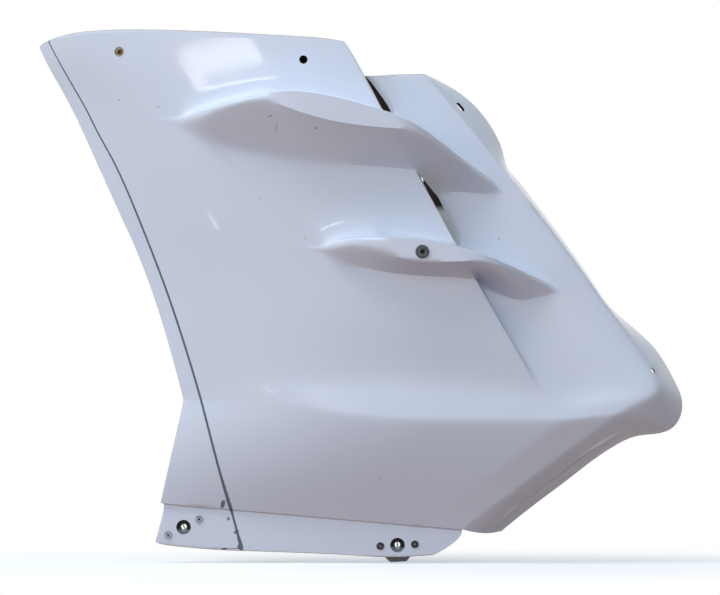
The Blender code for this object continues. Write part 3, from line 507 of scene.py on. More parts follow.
def shell_rows():
    """All rows of the shell from top to bottom, and the numbers of those that carry an edge."""
    rows, marks = [], {}

    def enter(name, *new):
        marks[name] = len(rows)
        rows.extend(new)

    def fin_rows(name, fin):
        for line in FIN_LINES:
            own = fin if line in ("ridge", "foot") else None
            enter(f"{name}_{line}", feature_row(fin[line], own))

    top = top_row()
    first = feature_row(UPPER_FIN["top"])
    enter("edge", top, *(between(top, first, share) for share in EDGE_ROWS))
    fin_rows("upper", UPPER_FIN)
    gap_end = feature_row(LOWER_FIN["top"])
    enter("gap", between(rows[-1], gap_end, GAP_ROW))
    fin_rows("lower", LOWER_FIN)
    flare = line_row(FLARE, FLARE_PROUD, RECESS_FOLD[-1])
    enter("side", *(between(rows[-1], flare, share) for share in SIDE_ROWS))
    enter("flare", flare)
    ramp = line_row(RAMP, RAMP_PROUD, RAMP_CORNER)
    crease = line_row(CREASE, CREASE_PROUD, BELLY_TOP_CORNER)
    enter("ramp", ramp, [tuple(mix(a, b, TURN_ROW) for a, b in zip(*pair)) for pair in zip(ramp, crease)])
    enter("crease", crease)
    enter("belly", *belly_rows(crease, BELLY_ROWS))
    seam = belly_rows(crease, (1.0,))[0]
    enter("seam", seam)
    enter("joggle", *strip_rows(seam))
    return rows, marks


def drawn_out(points):
    """Moves an outline's points outwards by what the smooth surface and its rounded rim draw them in."""
    points = [Vector(point) for point in points]
    moved = points[:1]
    for before, here, after in zip(points, points[1:], points[2:]):
        along = (after - before).normalized()
        pull = (before + after) / 2 - here
        outwards = Vector((-along.y, along.x))
        moved.append(here - (pull - pull.dot(along) * along) * DRAW_OUT + outwards * RIM_ROUND)
    return moved + points[-1:]


def return_points(row, number, marks):
    """The points of the folded return beyond one row's end, out to the raw edge."""
    x, proud, z = row[-1]
    outer = drawn_out(RAW_EDGE)[min(number, marks["seam"])]
    back, groove, sag = RAMP_BACK, 0.0, 0.0
    if number <= marks["flare"]:
        back = curve(RETURN_BACK)(z)
    elif number >= marks["crease"]:
        share = (number - marks["crease"]) / (marks["seam"] - marks["crease"])
        back, groove = curve(BELLY_BACK)(share), curve(GROOVE_DEPTH)(share)
        sag = SEAM_SAG if number == marks["seam"] else 0.0
    points = []
    for share in RETURN_SHARES:
        set_back = back * mix(share**RETURN_BEND, share, RETURN_STRAIGHT)
        drop = sag * 4 * share * (1 - share)
        point = (mix(x, outer[0], share), proud - set_back, mix(z, outer[1], share) - drop)
        sunk = groove if share == GROOVE_SHARE else 0.0
        points.append(tuple(at + sunk * towards for at, towards in zip(point, GROOVE_TOWARDS)))
    return points


def shell_sheet():
    """The outer face of the shell as one sheet of quads, open at the vents."""
    rows, marks = shell_rows()
    places = [row + return_points(row, number, marks) for number, row in enumerate(rows)]
    across, down = len(places[0]), len(places)
    bm = bmesh.new()
    bm.verts.layers.float.new("crease_vert")
    bmesh.ops.create_grid(bm, x_segments=across - 1, y_segments=down - 1, size=1.0)
    where = {}
    for vert in bm.verts:
        column = round((vert.co.x + 1) / 2 * (across - 1))
        row = round((1 - vert.co.y) / 2 * (down - 1))
        where[vert] = (row, column)
        x, proud, z = places[row][column]
        vert.co = Vector((x, -proud, z)) * MM
    open_rows = set(range(marks["edge"], marks["upper_top"]))
    open_rows |= set(range(marks["upper_root"], marks["lower_top"]))
    gone = []
    for face in bm.faces:
        row = min(where[v][0] for v in face.verts)
        column = min(where[v][1] for v in face.verts)
        in_vent = column == TRAIL and row in open_rows
        past_strip = column >= FOLD and row >= marks["seam"]
        if in_vent or past_strip:
            gone.append(face)
    bmesh.ops.delete(bm, geom=gone, context="FACES")
    crease_edges(bm, where, marks)
    crease_corners(bm, where, marks)
    turn_vent_lip(bm, where, open_rows)
    bmesh.ops.recalc_face_normals(bm, faces=bm.faces)
    if sum(face.normal.y * face.calc_area() for face in bm.faces) > 0:
        bmesh.ops.reverse_faces(bm, faces=bm.faces)
    return bm


def crease_edges(bm, where, marks):
    """How sharp each edge line of the moulding is."""
    layer = bm.edges.layers.float.new("crease_edge")
    tip = FOLD - 1
    valley = FOLD + 1 + RETURN_SHARES.index(GROOVE_SHARE)
    groove = dict(zip((valley - 1, valley, valley + 1), GROOVE_SHARP))
    for edge in bm.edges:
        (row_a, col_a), (row_b, col_b) = (where[v] for v in edge.verts)
        row, col = min(row_a, row_b), min(col_a, col_b)
        for name, fin in (("upper", UPPER_FIN), ("lower", LOWER_FIN)):
            line = row - marks[f"{name}_top"]
            if row_a == row_b and 0 <= line < len(FIN_LINES) and fin["nose"] <= col < tip:
                part = 0 if col < fin["facet_end"] else 1 if col < RECESS else 2
                edge[layer] = FIN_SHARP[FIN_LINES[line]][part]
            if row_a != row_b and 0 <= line < len(FIN_LINES) - 1 and col == tip:
                edge[layer] = TIP_SHARP
        if row_a == row_b and row == marks["crease"]:
            edge[layer] = CREASE_SHARP
        if row_a == row_b and row in (marks["seam"], marks["joggle"]):
            edge[layer] = SEAM_SHARP
        if row_a != row_b and col in (TRAIL, RECESS) and marks["lower_root"] <= row < marks["flare"]:
            edge[layer] = STEP_SHARP[col - TRAIL]
        if row_a != row_b and col == FOLD and row >= marks["crease"]:
            edge[layer] = FOLD_SHARP
        if row_a != row_b and col_a == col_b == FOLD and row < marks["upper_root"]:
            edge[layer] = EAR_SHARP
        if row_a != row_b and marks["crease"] < row < marks["seam"] - 1 and col_a == col_b:
            edge[layer] = max(edge[layer], groove.get(col, 0.0))


def crease_corners(bm, where, marks):
    """Keeps the outline's corners from being rounded away."""
    layer = bm.verts.layers.float["crease_vert"]
    raw = max(column for _, column in where.values())
    last = max(row for row, _ in where.values())
    corners = {(0, 0), (0, TRAIL), (0, RECESS), (0, raw), (marks["seam"], raw), (last, 0)}
    facets = {(marks[f"{name}_{line}"], RECESS) for name in ("upper", "lower") for line in ("ridge", "foot")}
    for vert, place in where.items():
        if vert.is_valid and place in corners | facets:
            vert[layer] = CORNER_SHARP if place in corners else FACET_SHARP


def turn_vent_lip(bm, where, open_rows):
    """Folds the vent panel's free edge back behind the skin, and past the fins where it ends at one."""
    edges = [
        edge for edge in bm.edges
        if edge.is_boundary
        and all(where[v][1] == RECESS for v in edge.verts)
        and min(where[v][0] for v in edge.verts) in open_rows
    ]
    last = max(where[v][0] for edge in edges for v in edge.verts)
    made = bmesh.ops.extrude_edge_only(bm, edges=edges)["geom"]
    verts = [item for item in made if isinstance(item, bmesh.types.BMVert)]
    # Lip faces above its lowest row take the near-black painted shade of the slit
    for face in (item for item in made if isinstance(item, bmesh.types.BMFace)):
        rows = [where[v][0] for v in face.verts if v in where]
        if max(rows) < last:
            face.material_index = PAINTED_SHADE_WALL
    bmesh.ops.translate(bm, verts=verts, vec=Vector((-LIP_TUCK, LIP_BACK, -LIP_DROP)) * MM)
    layer = bm.verts.layers.float["crease_vert"]
    for vert in verts:
        rows = [where[v][0] for edge in vert.link_edges for v in edge.verts if v in where]
        if len(vert.link_faces) == 1 and rows[0] > 0:
            vert[layer] = CORNER_SHARP
            upper = vert.co.z > vert.link_faces[0].calc_center_median().z
            vert.co.z += (LIP_UP if upper else -LIP_DOWN) * MM
            if upper:
                vert.co.x -= LIP_UNDER_FIN * MM


def turned(profile, sides, closed=False):
    """A solid of revolution about +Y from (radius, y) points, as a closed ring or from axis to axis."""
    bm = bmesh.new()
    verts = [bm.verts.new((radius * MM, y * MM, 0)) for radius, y in profile]
    ends = verts[1:] + verts[:1] if closed else verts[1:]
    edges = [bm.edges.new(pair) for pair in zip(verts, ends)]
    bmesh.ops.spin(
        bm, geom=verts + edges, axis=(0, 1, 0), cent=(0, 0, 0), angle=math.tau, steps=sides,
        use_merge=True,
    )
    bmesh.ops.remove_doubles(bm, verts=bm.verts, dist=0.001 * MM)
    bmesh.ops.recalc_face_normals(bm, faces=bm.faces)
    return bm


def rod(across, half_length, sides=48):
    radius = across / 2
    return turned([(0, -half_length), (radius, -half_length), (radius, half_length), (0, half_length)], sides)


def prism(outline, start, end):
    """A closed solid from an (x, z) outline, between two places along Y."""
    bm = bmesh.new()
    face = bm.faces.new([bm.verts.new((x * MM, start * MM, z * MM)) for x, z in outline])
    made = bmesh.ops.extrude_face_region(bm, geom=[face])["geom"]
    verts = [item for item in made if isinstance(item, bmesh.types.BMVert)]
    bmesh.ops.translate(bm, verts=verts, vec=(0, (end - start) * MM, 0))
    bmesh.ops.recalc_face_normals(bm, faces=bm.faces)
    return bm


def arc(radius, start, end, steps, centre=(0.0, 0.0)):
    """Points of an arc in its plane, angles in degrees."""
    angles = [math.radians(mix(start, end, i / steps)) for i in range(steps + 1)]
    return [(centre[0] + radius * math.cos(a), centre[1] + radius * math.sin(a)) for a in angles]


def hexagon(flats):
    corner = flats / math.sqrt(3)
    return [(corner * math.cos(math.tau * i / 6), corner * math.sin(math.tau * i / 6)) for i in range(6)]


def soften(bm, width, angle=35, segments=2):
    """Rounds every edge that is sharper than an angle in degrees."""
    sharp = [e for e in bm.edges if len(e.link_faces) == 2 and e.calc_face_angle(0) > math.radians(angle)]
    bmesh.ops.bevel(
        bm, geom=sharp, offset=width * MM, segments=segments, profile=0.5, affect="EDGES", material=-1,
        clamp_overlap=True,
    )
    return bm


def stand(bm, at, turn=0.0, aim=None):
    """Puts a shape that was made about +Y in its place: turned about Y, aimed along a direction, moved."""
    matrix = Matrix.Rotation(turn, 4, "Y")
    if aim is not None:
        matrix = Vector((0, 1, 0)).rotation_difference(Vector(aim)).to_matrix().to_4x4() @ matrix
    bm.transform(Matrix.Translation(Vector(at) * MM) @ matrix)
    return bm


def as_mesh(name, bm, finishes=()):
    """Turns a shape into a mesh with its finishes, and lets the shape go."""
    mesh = bpy.data.meshes.new(name)
    bm.to_mesh(mesh)
    bm.free()
    for finish in finishes:
        mesh.materials.append(finish)
    return mesh


def placed(name, data):
    """A new object in the scene."""
    thing = bpy.data.objects.new(name, data)
    bpy.context.scene.collection.objects.link(thing)
    return thing


def put_in(bm, other):
    """Adds another shape to a shape, as it stands."""
    scrap = as_mesh("scrap", other)
    bm.from_mesh(scrap)
    bpy.data.meshes.remove(scrap)


def work_object(bm, finishes=()):
    """An object that modifiers work on, and that goes again."""
    return placed("work", as_mesh("work", bm, finishes))


def evaluated(thing):
    """A new mesh of an object as its modifiers leave it."""
    bpy.context.view_layer.update()
    graph = bpy.context.evaluated_depsgraph_get()
    return bpy.data.meshes.new_from_object(thing.evaluated_get(graph), depsgraph=graph)


def boolean(bm, tool, operation="DIFFERENCE", finishes=()):
    """One shape cut by another, joined to it, or kept within it."""
    things = [work_object(bm, finishes), work_object(tool, finishes)]
    modifier = things[0].modifiers.new("Cut", "BOOLEAN")
    modifier.solver = "EXACT"
    modifier.operation = operation
    modifier.object = things[1]
    made = bmesh.new()
    made.from_mesh(evaluated(things[0]))
    for thing in things:
        bpy.data.objects.remove(thing)
    return made


def fixing_place(side):
    """Centre of a quarter-turn fixing on the strip, as (x, z)."""
    reach = RECEPTACLES[side][0] * FASTENER_SPACING
    return reach * math.cos(STRIP_TILT), reach * math.sin(STRIP_TILT)


def rivet_places(side):
    x, z = fixing_place(side)
    turn = RECEPTACLES[side][1]
    step = (math.cos(turn) * RIVET_PITCH / 2, math.sin(turn) * RIVET_PITCH / 2)
    return [(x - step[0], z - step[1]), (x + step[0], z + step[1])]


def finished(name, bm, finishes, node, angle=35):
    """Makes a piece of a shape: shaded, finished, riding on the panel and standing for its CAD node."""
    mesh = as_mesh(name, bm, finishes)
    mesh.shade_smooth()
    mesh.set_sharp_from_angle(angle=math.radians(angle))
    piece = placed(name, mesh)
    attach(piece, "root")
    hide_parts(node)
    return piece


# Materials

def connect(tree, node, inputs):
    """Gives a node's sockets their values, and links those that another node feeds."""
    for socket, value in inputs.items():
        if isinstance(value, bpy.types.NodeSocket):
            tree.links.new(value, node.inputs[socket])
        else:
            node.inputs[socket].default_value = value


def add(tree, kind, inputs=None, **settings):
    """Adds one shader node with its settings, its socket values and its links."""
    made = tree.nodes.new("ShaderNode" + kind)
    for name, value in settings.items():
        setattr(made, name, value)
    connect(tree, made, inputs or {})
    return made


def new_material(name):
    """An empty material with its shader, and the object's own coordinates."""
    made = bpy.data.materials.new(name)
    made.use_nodes = True
    tree = made.node_tree
    return made, tree, tree.nodes["Principled BSDF"], add(tree, "TexCoord").outputs["Object"]


def noise(tree, place, across, detail=2.0, roughness=0.5):
    """Noise whose features are about so many millimetres across."""
    made = add(
        tree, "TexNoise",
        {"Vector": place, "Scale": 1 / (across * MM), "Detail": detail, "Roughness": roughness},
    )
    return made.outputs["Fac"]


def ranged(tree, value, low, high, to_low=0.0, to_high=1.0):
    """A value between two limits spread over another range, and held at its ends."""
    made = add(
        tree, "MapRange",
        {"Value": value, "From Min": low, "From Max": high, "To Min": to_low, "To Max": to_high},
    )
    return made.outputs["Result"]


def maths(tree, operation, a, b=0.0):
    return add(tree, "Math", {0: a, 1: b}, operation=operation).outputs[0]


def blended(tree, share, a, b):
    """Two colours mixed by a share from 0 to 1."""
    a, b = (colour if isinstance(colour, bpy.types.NodeSocket) else (*colour, 1.0) for colour in (a, b))
    return add(tree, "Mix", {"Factor": share, 6: a, 7: b}, data_type="RGBA").outputs[2]


def bumped(tree, height, distance, strength=1.0, normal=None):
    """A bump of so many millimetres, on top of another where one is given."""
    inputs = {"Height": height, "Distance": distance * MM, "Strength": strength}
    if normal is not None:
        inputs["Normal"] = normal
    return add(tree, "Bump", inputs).outputs["Normal"]


def spot(tree, place, at, length, width, turn=0.0, soft=0.25):
    """A mark on the outer face: an ellipse about an (x, z) point, its long way turned from the level."""
    moved = add(
        tree, "Mapping",
        {
            "Vector": place, "Location": (at[0] * MM, 0, at[1] * MM),
            "Rotation": (0, -math.radians(turn), 0), "Scale": (length / 2 * MM, 1000, width / 2 * MM),
        },
        vector_type="TEXTURE",
    )
    far = add(tree, "VectorMath", {0: moved.outputs[0]}, operation="LENGTH").outputs["Value"]
    return ranged(tree, far, 1 + soft, 1 - soft)


def most(tree, masks):
    """The strongest of several masks."""
    strongest = masks[0]
    for mask in masks[1:]:
        strongest = maths(tree, "MAXIMUM", strongest, mask)
    return strongest


# Marks of wear on the outer face: place as (x, z), length, width, turn
CHIPS = [((-67.5, 33), 8.5, 4.2, 78), ((-54, 5), 5.5, 3.2, 40), ((-50, -11.5), 8, 4, -48),
         ((-66.5, -12.6), 5.5, 2.6, 6), ((-62, 18), 4, 2.2, 70)]
SCRATCHES = [((-19, 421), 6, 1.2, 25), ((-12.5, 410), 8, 0.9, 86), ((27, 409), 4.5, 1.4, 30)]
SPECKS = [((-171, 439), 1.8, 1.5, 0), ((-131, 432), 1.6, 1.4, 0), ((16, 300), 1.4, 1.2, 0),
          ((-30, 340), 1.5, 1.3, 0), ((210, 300), 1.5, 1.3, 0), ((90, 60), 1.6, 1.4, 0)]


def paint_finish(settings):
    """Gloss white two-pack paint, sprayed over a hand-laid glass-fibre moulding.

    It gives the eye a hard, clear gloss, a fine orange peel a few millimetres across, slow waves where
    the mould and the filling were not quite fair, and beige laminate where an edge has chipped.
    """
    made, tree, shader, place = new_material("gloss_white_paint_on_glass_fibre")
    grime = maths(tree, "MULTIPLY", noise(tree, place, 160, 2, 0.5), 0.5)
    colour = blended(tree, grime, settings.paint, settings.paint_shade)
    line = add(tree, "Attribute", attribute_name="line_offset").outputs["Fac"]
    ragged = ranged(tree, noise(tree, place, 2.2, 3, 0.6), 0.0, 1.0, -0.35, 0.35)
    from_line = maths(tree, "ADD", maths(tree, "ABSOLUTE", line), ragged)
    on_line_mask = ranged(tree, from_line, 1.15, 0.85)
    colour = blended(tree, on_line_mask, colour, settings.line)
    shift = add(tree, "TexNoise", {"Vector": place, "Scale": 400.0}).outputs["Color"]
    shift = add(tree, "VectorMath", {0: shift, "Scale": 0.0012}, operation="SCALE").outputs[0]
    rough_place = add(tree, "VectorMath", {0: place, 1: shift}, operation="ADD").outputs[0]
    chips = most(tree, [spot(tree, rough_place, *chip, soft=0.08) for chip in CHIPS])
    scratches = most(tree, [spot(tree, rough_place, *scratch, soft=0.3) for scratch in SCRATCHES])
    specks = most(tree, [spot(tree, rough_place, *speck, soft=0.3) for speck in SPECKS])
    colour = blended(tree, chips, colour, settings.chip)
    colour = blended(tree, maths(tree, "MULTIPLY", scratches, 0.75), colour, settings.scratch)
    colour = blended(tree, maths(tree, "MULTIPLY", specks, 0.8), colour, settings.scratch)
    edge = add(tree, "Attribute", attribute_name="from_edge").outputs["Fac"]
    worn = maths(tree, "SUBTRACT", ranged(tree, noise(tree, place, 3.0, 4, 0.65), 0.3, 0.7, 0.1, 1.3), edge)
    worn = ranged(tree, worn, 0.25, 0.45)
    colour = blended(tree, worn, colour, settings.edge)
    haze = ranged(tree, noise(tree, place, 120, 2, 0.5), 0.0, 1.0, 0.2, 0.24)
    marked = most(tree, [on_line_mask, chips, scratches, worn])
    waves = bumped(tree, noise(tree, place, 70, 1, 0.4), 0.5, 0.6)
    peel = bumped(tree, noise(tree, place, 2.6, 1, 0.4), 0.02, 0.5, waves)
    whole = maths(tree, "SUBTRACT", 1.0, most(tree, [on_line_mask, chips, scratches]))
    connect(tree, shader, {
        "Base Color": colour,
        "Roughness": add(tree, "Mix", {0: marked, 2: haze, 3: 0.6}).outputs[0],
        "IOR": 1.5,
        "Coat Weight": 0.6,
        "Coat Roughness": 0.05,
        "Normal": bumped(tree, whole, 0.25, 0.7, peel),
        "Coat Normal": peel,
    })
    return made


# Glass strands: how each layer lies, in degrees, its shift in metres, and its noise's stretch and fineness
STRAND_ANGLES = (12, 49, 81, 118, 155)
STRAND_SHIFT = (0.013, 0.02, 0)
STRAND_STRETCH = (38.0, 6.0, 1.0)
STRAND_FINENESS = 620.0


def laminate_finish(settings):
    """Chopped-strand glass mat wetted out by hand with polyester resin, left raw inside the moulding.

    It gives the eye a beige, half-gloss skin of resin with pale crossed strands 25 to 50 mm long showing
    through. A strand is about 0.8 mm wide, and is drawn at 1 mm so that it shows.
    """
    made, tree, shader, place = new_material("raw_chopped_strand_laminate")
    strands = []
    for number, angle in enumerate(STRAND_ANGLES):
        mapping = {
            "Vector": place,
            "Location": [step * number for step in STRAND_SHIFT],
            "Rotation": (0, math.radians(angle), 0),
            "Scale": STRAND_STRETCH,
        }
        along = add(tree, "Mapping", mapping, vector_type="TEXTURE").outputs[0]
        grain = {"Vector": along, "Scale": STRAND_FINENESS, "Detail": 1.0, "Roughness": 0.4}
        fibre = add(tree, "TexNoise", grain).outputs["Fac"]
        strands.append(ranged(tree, fibre, 0.56, 0.68))
    mat = most(tree, strands)
    cloud = noise(tree, place, 28, 4, 0.6)
    resin = blended(tree, ranged(tree, cloud, 0.3, 0.7), settings.resin, settings.resin_shade)
    lumps = bumped(tree, cloud, 0.9, 0.7)
    connect(tree, shader, {
        "Base Color": blended(tree, maths(tree, "MULTIPLY", mat, 0.55), resin, settings.strand),
        "Roughness": ranged(tree, cloud, 0.3, 0.7, 0.35, 0.55),
        "IOR": 1.55,
        "Normal": bumped(tree, mat, 0.35, 0.8, lumps),
    })
    return made


def cut_edge_finish(settings):
    """Glass-fibre laminate trimmed with a disc and a file: a dry, chalky beige with fine layers in it."""
    made, tree, shader, place = new_material("trimmed_laminate_edge")
    grit = noise(tree, place, 0.8, 3, 0.6)
    connect(tree, shader, {
        "Base Color": blended(tree, grit, settings.edge, settings.edge_shade),
        "Roughness": 0.75,
        "Normal": bumped(tree, grit, 0.15, 0.6),
    })
    return made


# Where the painted shade on the lower vent's lip gives way to white paint: heights of none and of full, at
# its top and at its foot
UNSHADED_TOP = (333, 326)
UNSHADED_FOOT = (250, 300)


def painted_slit_shade_finish(settings):
    """Painted shade: a matt near black on the vent panel's lip behind the skin and on the walls of most
    holes.

    It gives the eye the dark slit beside the skin's free edge and dark holes, and gives way to the white
    paint colour where the lower vent closes.
    """
    made, tree, shader, place = new_material("painted_shade_in_vent_slit_and_holes")
    cloud = noise(tree, place, 6.0, 3, 0.6)
    colour = blended(tree, cloud, settings.painted_slit_shade, settings.painted_slit_shade_deep)
    height = add(tree, "SeparateXYZ", {0: place}).outputs["Z"]
    ends = [ranged(tree, height, none * MM, full * MM) for none, full in (UNSHADED_TOP, UNSHADED_FOOT)]
    connect(tree, shader, {
        "Base Color": blended(tree, maths(tree, "MULTIPLY", *ends), colour, settings.paint),
        "Roughness": 0.8,
        "Specular IOR Level": 0.2,
        "Normal": bumped(tree, cloud, 0.1, 0.5),
    })
    return made


def metal_finish(name, colour, shade, roughness, grain):
    """Metal of a small fixing: its colour clouded towards a shade, and its grain in millimetres."""
    made, tree, shader, place = new_material(name)
    cloud = noise(tree, place, 4.0, 4, 0.6)
    connect(tree, shader, {
        "Base Color": blended(tree, ranged(tree, cloud, 0.35, 0.7), colour, shade),
        "Metallic": 1.0,
        "Roughness": ranged(tree, cloud, 0.3, 0.75, roughness * 0.8, roughness * 1.4),
        "Normal": bumped(tree, noise(tree, place, grain, 3, 0.6), 0.04, 0.6),
    })
    return made


def zinc_finish(settings):
    """Bright zinc plate on stamped spring steel: a cool, slightly clouded silver."""
    return metal_finish("bright_zinc_plated_steel", settings.zinc, settings.zinc_shade, 0.3, 0.7)


# Painted shade on a receptacle's cup, and its darker lower end: heights of none and of full in its cup and at
# its lower end, and its width in a cup
CUP_SHADE_HEIGHTS = (-2.6, -0.4)
DARK_END_HEIGHTS = (-9.0, -10.5)
CUP_SHADE_ACROSS = 18.0


def receptacle_finish(settings):
    """Zinc plate on a drawn steel cup, with painted shade on the cup's upper side, away from the light above.

    It gives the eye a dark hole with one bright crescent low in the cup, and a brown end below the strip
    that is darker towards its foot.
    """
    made = metal_finish("zinc_plated_steel_with_painted_cup_shade", settings.zinc, settings.zinc_shade, 0.42, 0.7)
    tree = made.node_tree
    shader = tree.nodes["Principled BSDF"]
    place = add(tree, "TexCoord").outputs["Object"]
    parts = add(tree, "SeparateXYZ", {0: place}).outputs
    level = maths(tree, "MULTIPLY", parts["X"], -math.tan(STRIP_TILT))
    height = maths(tree, "ADD", maths(tree, "ADD", parts["Z"], level),
                   maths(tree, "MULTIPLY", noise(tree, place, 2.5, 3, 0.6), 3 * MM))
    below, above = (ranged(tree, height, none * MM, full * MM) for none, full in (DARK_END_HEIGHTS, CUP_SHADE_HEIGHTS))
    cups = most(tree, [
        spot(tree, place, fixing_place(side), CUP_SHADE_ACROSS, CUP_SHADE_ACROSS, soft=0.1) for side in RECEPTACLES
    ])
    # Painted shade on the cup's upper side, and a darker lower end below the strip
    cup_shade_and_dark_end = maths(tree, "MAXIMUM", maths(tree, "MULTIPLY", below, 0.85), maths(tree, "MULTIPLY", cups, above))
    clean = shader.inputs["Base Color"].links[0].from_socket
    connect(tree, shader, {
        "Base Color": blended(tree, cup_shade_and_dark_end, clean, settings.painted_shade_black),
        "Metallic": ranged(tree, cup_shade_and_dark_end, 0.0, 1.0, 0.5, 0.15),
    })
    return made


def rivet_finish(settings):
    """Aluminium, cold-headed and left plain: a soft grey sheen, dulled by handling."""
    return metal_finish("plain_aluminium_rivet", settings.rivet, settings.rivet_shade, 0.38, 0.5)


def shaded_rivet_finish(settings):
    """Aluminium rivet darkened as painted shade: a near-black ring round a paler centre."""
    return metal_finish("aluminium_rivet_in_painted_shade", settings.dark_rivet, settings.painted_shade_black, 0.42, 0.5)


def pale_mandrel_finish(settings):
    """Steel mandrel in pale zinc and aluminium colours, inside the rear rivets."""
    return metal_finish("pale_steel_mandrel", settings.zinc, settings.rivet, 0.4, 0.4)


def shaded_mandrel_finish(settings):
    """Steel wire snapped off in the rivet, painted near black as the shade in the rivet's core, with a rough
    broken end.
    """
    return metal_finish("broken_mandrel_in_painted_shade", settings.mandrel, settings.mandrel_shade, 0.5, 0.3)


def black_oxide_finish(settings):
    """Steel turned black in hot oxide salts and oiled: near black, with a satin sheen on its dome."""
    return metal_finish("black_oxide_steel", settings.oxide, settings.oxide_shade, 0.34, 0.5)


def socket_shade_finish(settings):
    """Painted shade in the screw's hexagon socket and its mouth: a flat black that gives back no light."""
    made = metal_finish("painted_shade_in_socket", settings.painted_shade_black, settings.mandrel, 0.7, 0.5)
    made.node_tree.nodes["Principled BSDF"].inputs["Metallic"].default_value = 0.0
    return made


def brass_finish(settings):
    """Brass turned on a lathe, browned by age."""
    return metal_finish("aged_turned_brass", settings.brass, settings.brass_shade, 0.42, 0.6)


def flange_finish(settings):
    """Pressed flange of a brass blind nut, greyed by the resin that bonds it."""
    return metal_finish("resin_greyed_flange", settings.flange, settings.brass, 0.55, 0.8)


def shaded_nut_finish(settings):
    """Blind nut painted near black as the shade behind the rear upper hole: nothing but a dark hole to the
    eye.
    """
    return metal_finish("blind_nut_in_painted_shade", settings.painted_shade_black, settings.painted_shade_black, 0.6, 0.8)


# Settings

def colour_property(name, description, code):
    return FloatVectorProperty(
        name=name, description=description, subtype="COLOR", size=3, min=0.0, max=1.0, default=linear(code),
    )


class FairingShellSettings(bpy.types.PropertyGroup):
    """Sizes and colours of the moulded shell."""

    wall: FloatProperty(
        name="Wall", description="Thickness of the laminate", default=0.003, unit="LENGTH",
        subtype="DISTANCE",
    )
    fineness: IntProperty(
        name="Fineness", description="Times that the sheet of sections is divided", default=3, min=1, max=3,
    )
    paint: colour_property("Paint", "Gloss white of the outer face", "#D0DAEC")
    paint_shade: colour_property("Paint shade", "White where grime has dulled it", "#C6CFDF")
    line: colour_property("Line", "Dark line along the front", "#46555F")
    chip: colour_property("Chip", "Undercoat where the paint has chipped", "#4B565E")
    scratch: colour_property("Scratch", "Grey of scratches and specks", "#7C8088")
    edge: colour_property("Cut edge", "Laminate where it was trimmed", "#C6C4C0")
    edge_shade: colour_property("Cut edge shade", "Darker layers in a cut edge", "#98948C")
    resin: colour_property("Resin", "Resin of the raw inner face", "#BDB08D")
    resin_shade: colour_property("Resin shade", "Resin where it lies thick", "#9C8C66")
    strand: colour_property("Strand", "Glass strands in the resin", "#D8D2BC")
    # Painted shade: near blacks that stand for the shade in the vent slits and the hole walls
    painted_slit_shade: colour_property("Primer", "Dark primer behind the vent's edge", "#332A2A")
    painted_slit_shade_deep: colour_property("Primer shade", "Primer where it lies thick", "#1C1616")


class FairingFixingSettings(bpy.types.PropertyGroup):
    """Colours of the fixings."""

    zinc: colour_property("Zinc", "Zinc plate of receptacles, washer and nut", "#CFD6DE")
    zinc_shade: colour_property("Zinc shade", "Zinc plate where it has clouded", "#8F959C")
    rivet: colour_property("Rivet", "Aluminium of the rivets", "#A9A9B6")
    rivet_shade: colour_property("Rivet shade", "Aluminium dulled by handling", "#6E6D79")
    # Painted shade: the rear rivets' aluminium darkened to a grey near black
    dark_rivet: colour_property("Dark rivet", "Greased aluminium of the rear rivets", "#4A494F")
    # Painted shade: near black for the receptacle cups, the rear rivets, the screw socket and the rear blind
    # nut, and for the receptacles' darker lower ends
    painted_shade_black: colour_property("Grease", "Grease and road dirt in the receptacles", "#1E1918")
    # Painted shade: near blacks on the front rivets' mandrels, the first also in the screw socket
    mandrel: colour_property("Mandrel", "Steel left in a rivet", "#100E0E")
    mandrel_shade: colour_property("Mandrel shade", "Rust on that steel", "#080606")
    oxide: colour_property("Black oxide", "Steel of the fin screw", "#5D5F69")
    oxide_shade: colour_property("Black oxide shade", "Oiled black of the fin screw", "#3A3B42")
    flange: colour_property("Flange", "Flange of the front blind nut", "#B5B3AC")
    brass: colour_property("Brass", "Turned brass of the blind nuts", "#A58A5B")
    brass_shade: colour_property("Brass shade", "Brass browned by age", "#6A5433")


class FairingStageSettings(bpy.types.PropertyGroup):
    """Floor, light and camera."""

    floor: colour_property("Floor", "Tint that the floor gives to the light it throws up", "#98746B")
    high: colour_property("High light", "Cooler upper half of the soft light round the stage", "#80B2DA")
    low: colour_property("Low light", "Warmer lower half of the soft light round the stage", "#FFF0D9")
    key: FloatProperty(
        name="Key", description="Power of the large soft lamp above", default=33.0, min=0.0, subtype="POWER",
    )
    fill: FloatProperty(
        name="Fill", description="Power of the lamp above on the other side", default=8.0, min=0.0,
        subtype="POWER",
    )
    window: FloatProperty(
        name="Window", description="Power of each square metre of the lamps mirrored in the paint",
        default=30.0, min=0.0, subtype="POWER",
    )
    world: FloatProperty(
        name="World", description="Strength of the soft light from the left", default=4.6, min=0.0,
    )
    lens: FloatProperty(
        name="Lens", description="Focal length of the camera, in millimetres", default=250.0, min=1.0,
    )


# The painted shell: numbers of its finishes on trimmed edges and on walls painted near black as shade
CUT_WALL = 2
PAINTED_SHADE_WALL = 3

# How sharp the wall's rims stay, how far a hole's cutter reaches each way, and how finely the ball is turned
RIM_SHARP = 0.9
CUTTER_REACH = 12.0
BALL_STEPS = 48

# Where a line to the outer face starts, in metres, and how many walls behind that face one back starts
IN_FRONT = -1.0
WALLS_BEHIND = 6

# How far round a hole the whole shell's shading is taken over, and how alike both directions have to be
SHADED_ROUND = 20.0
SAME_WAY = 0.8


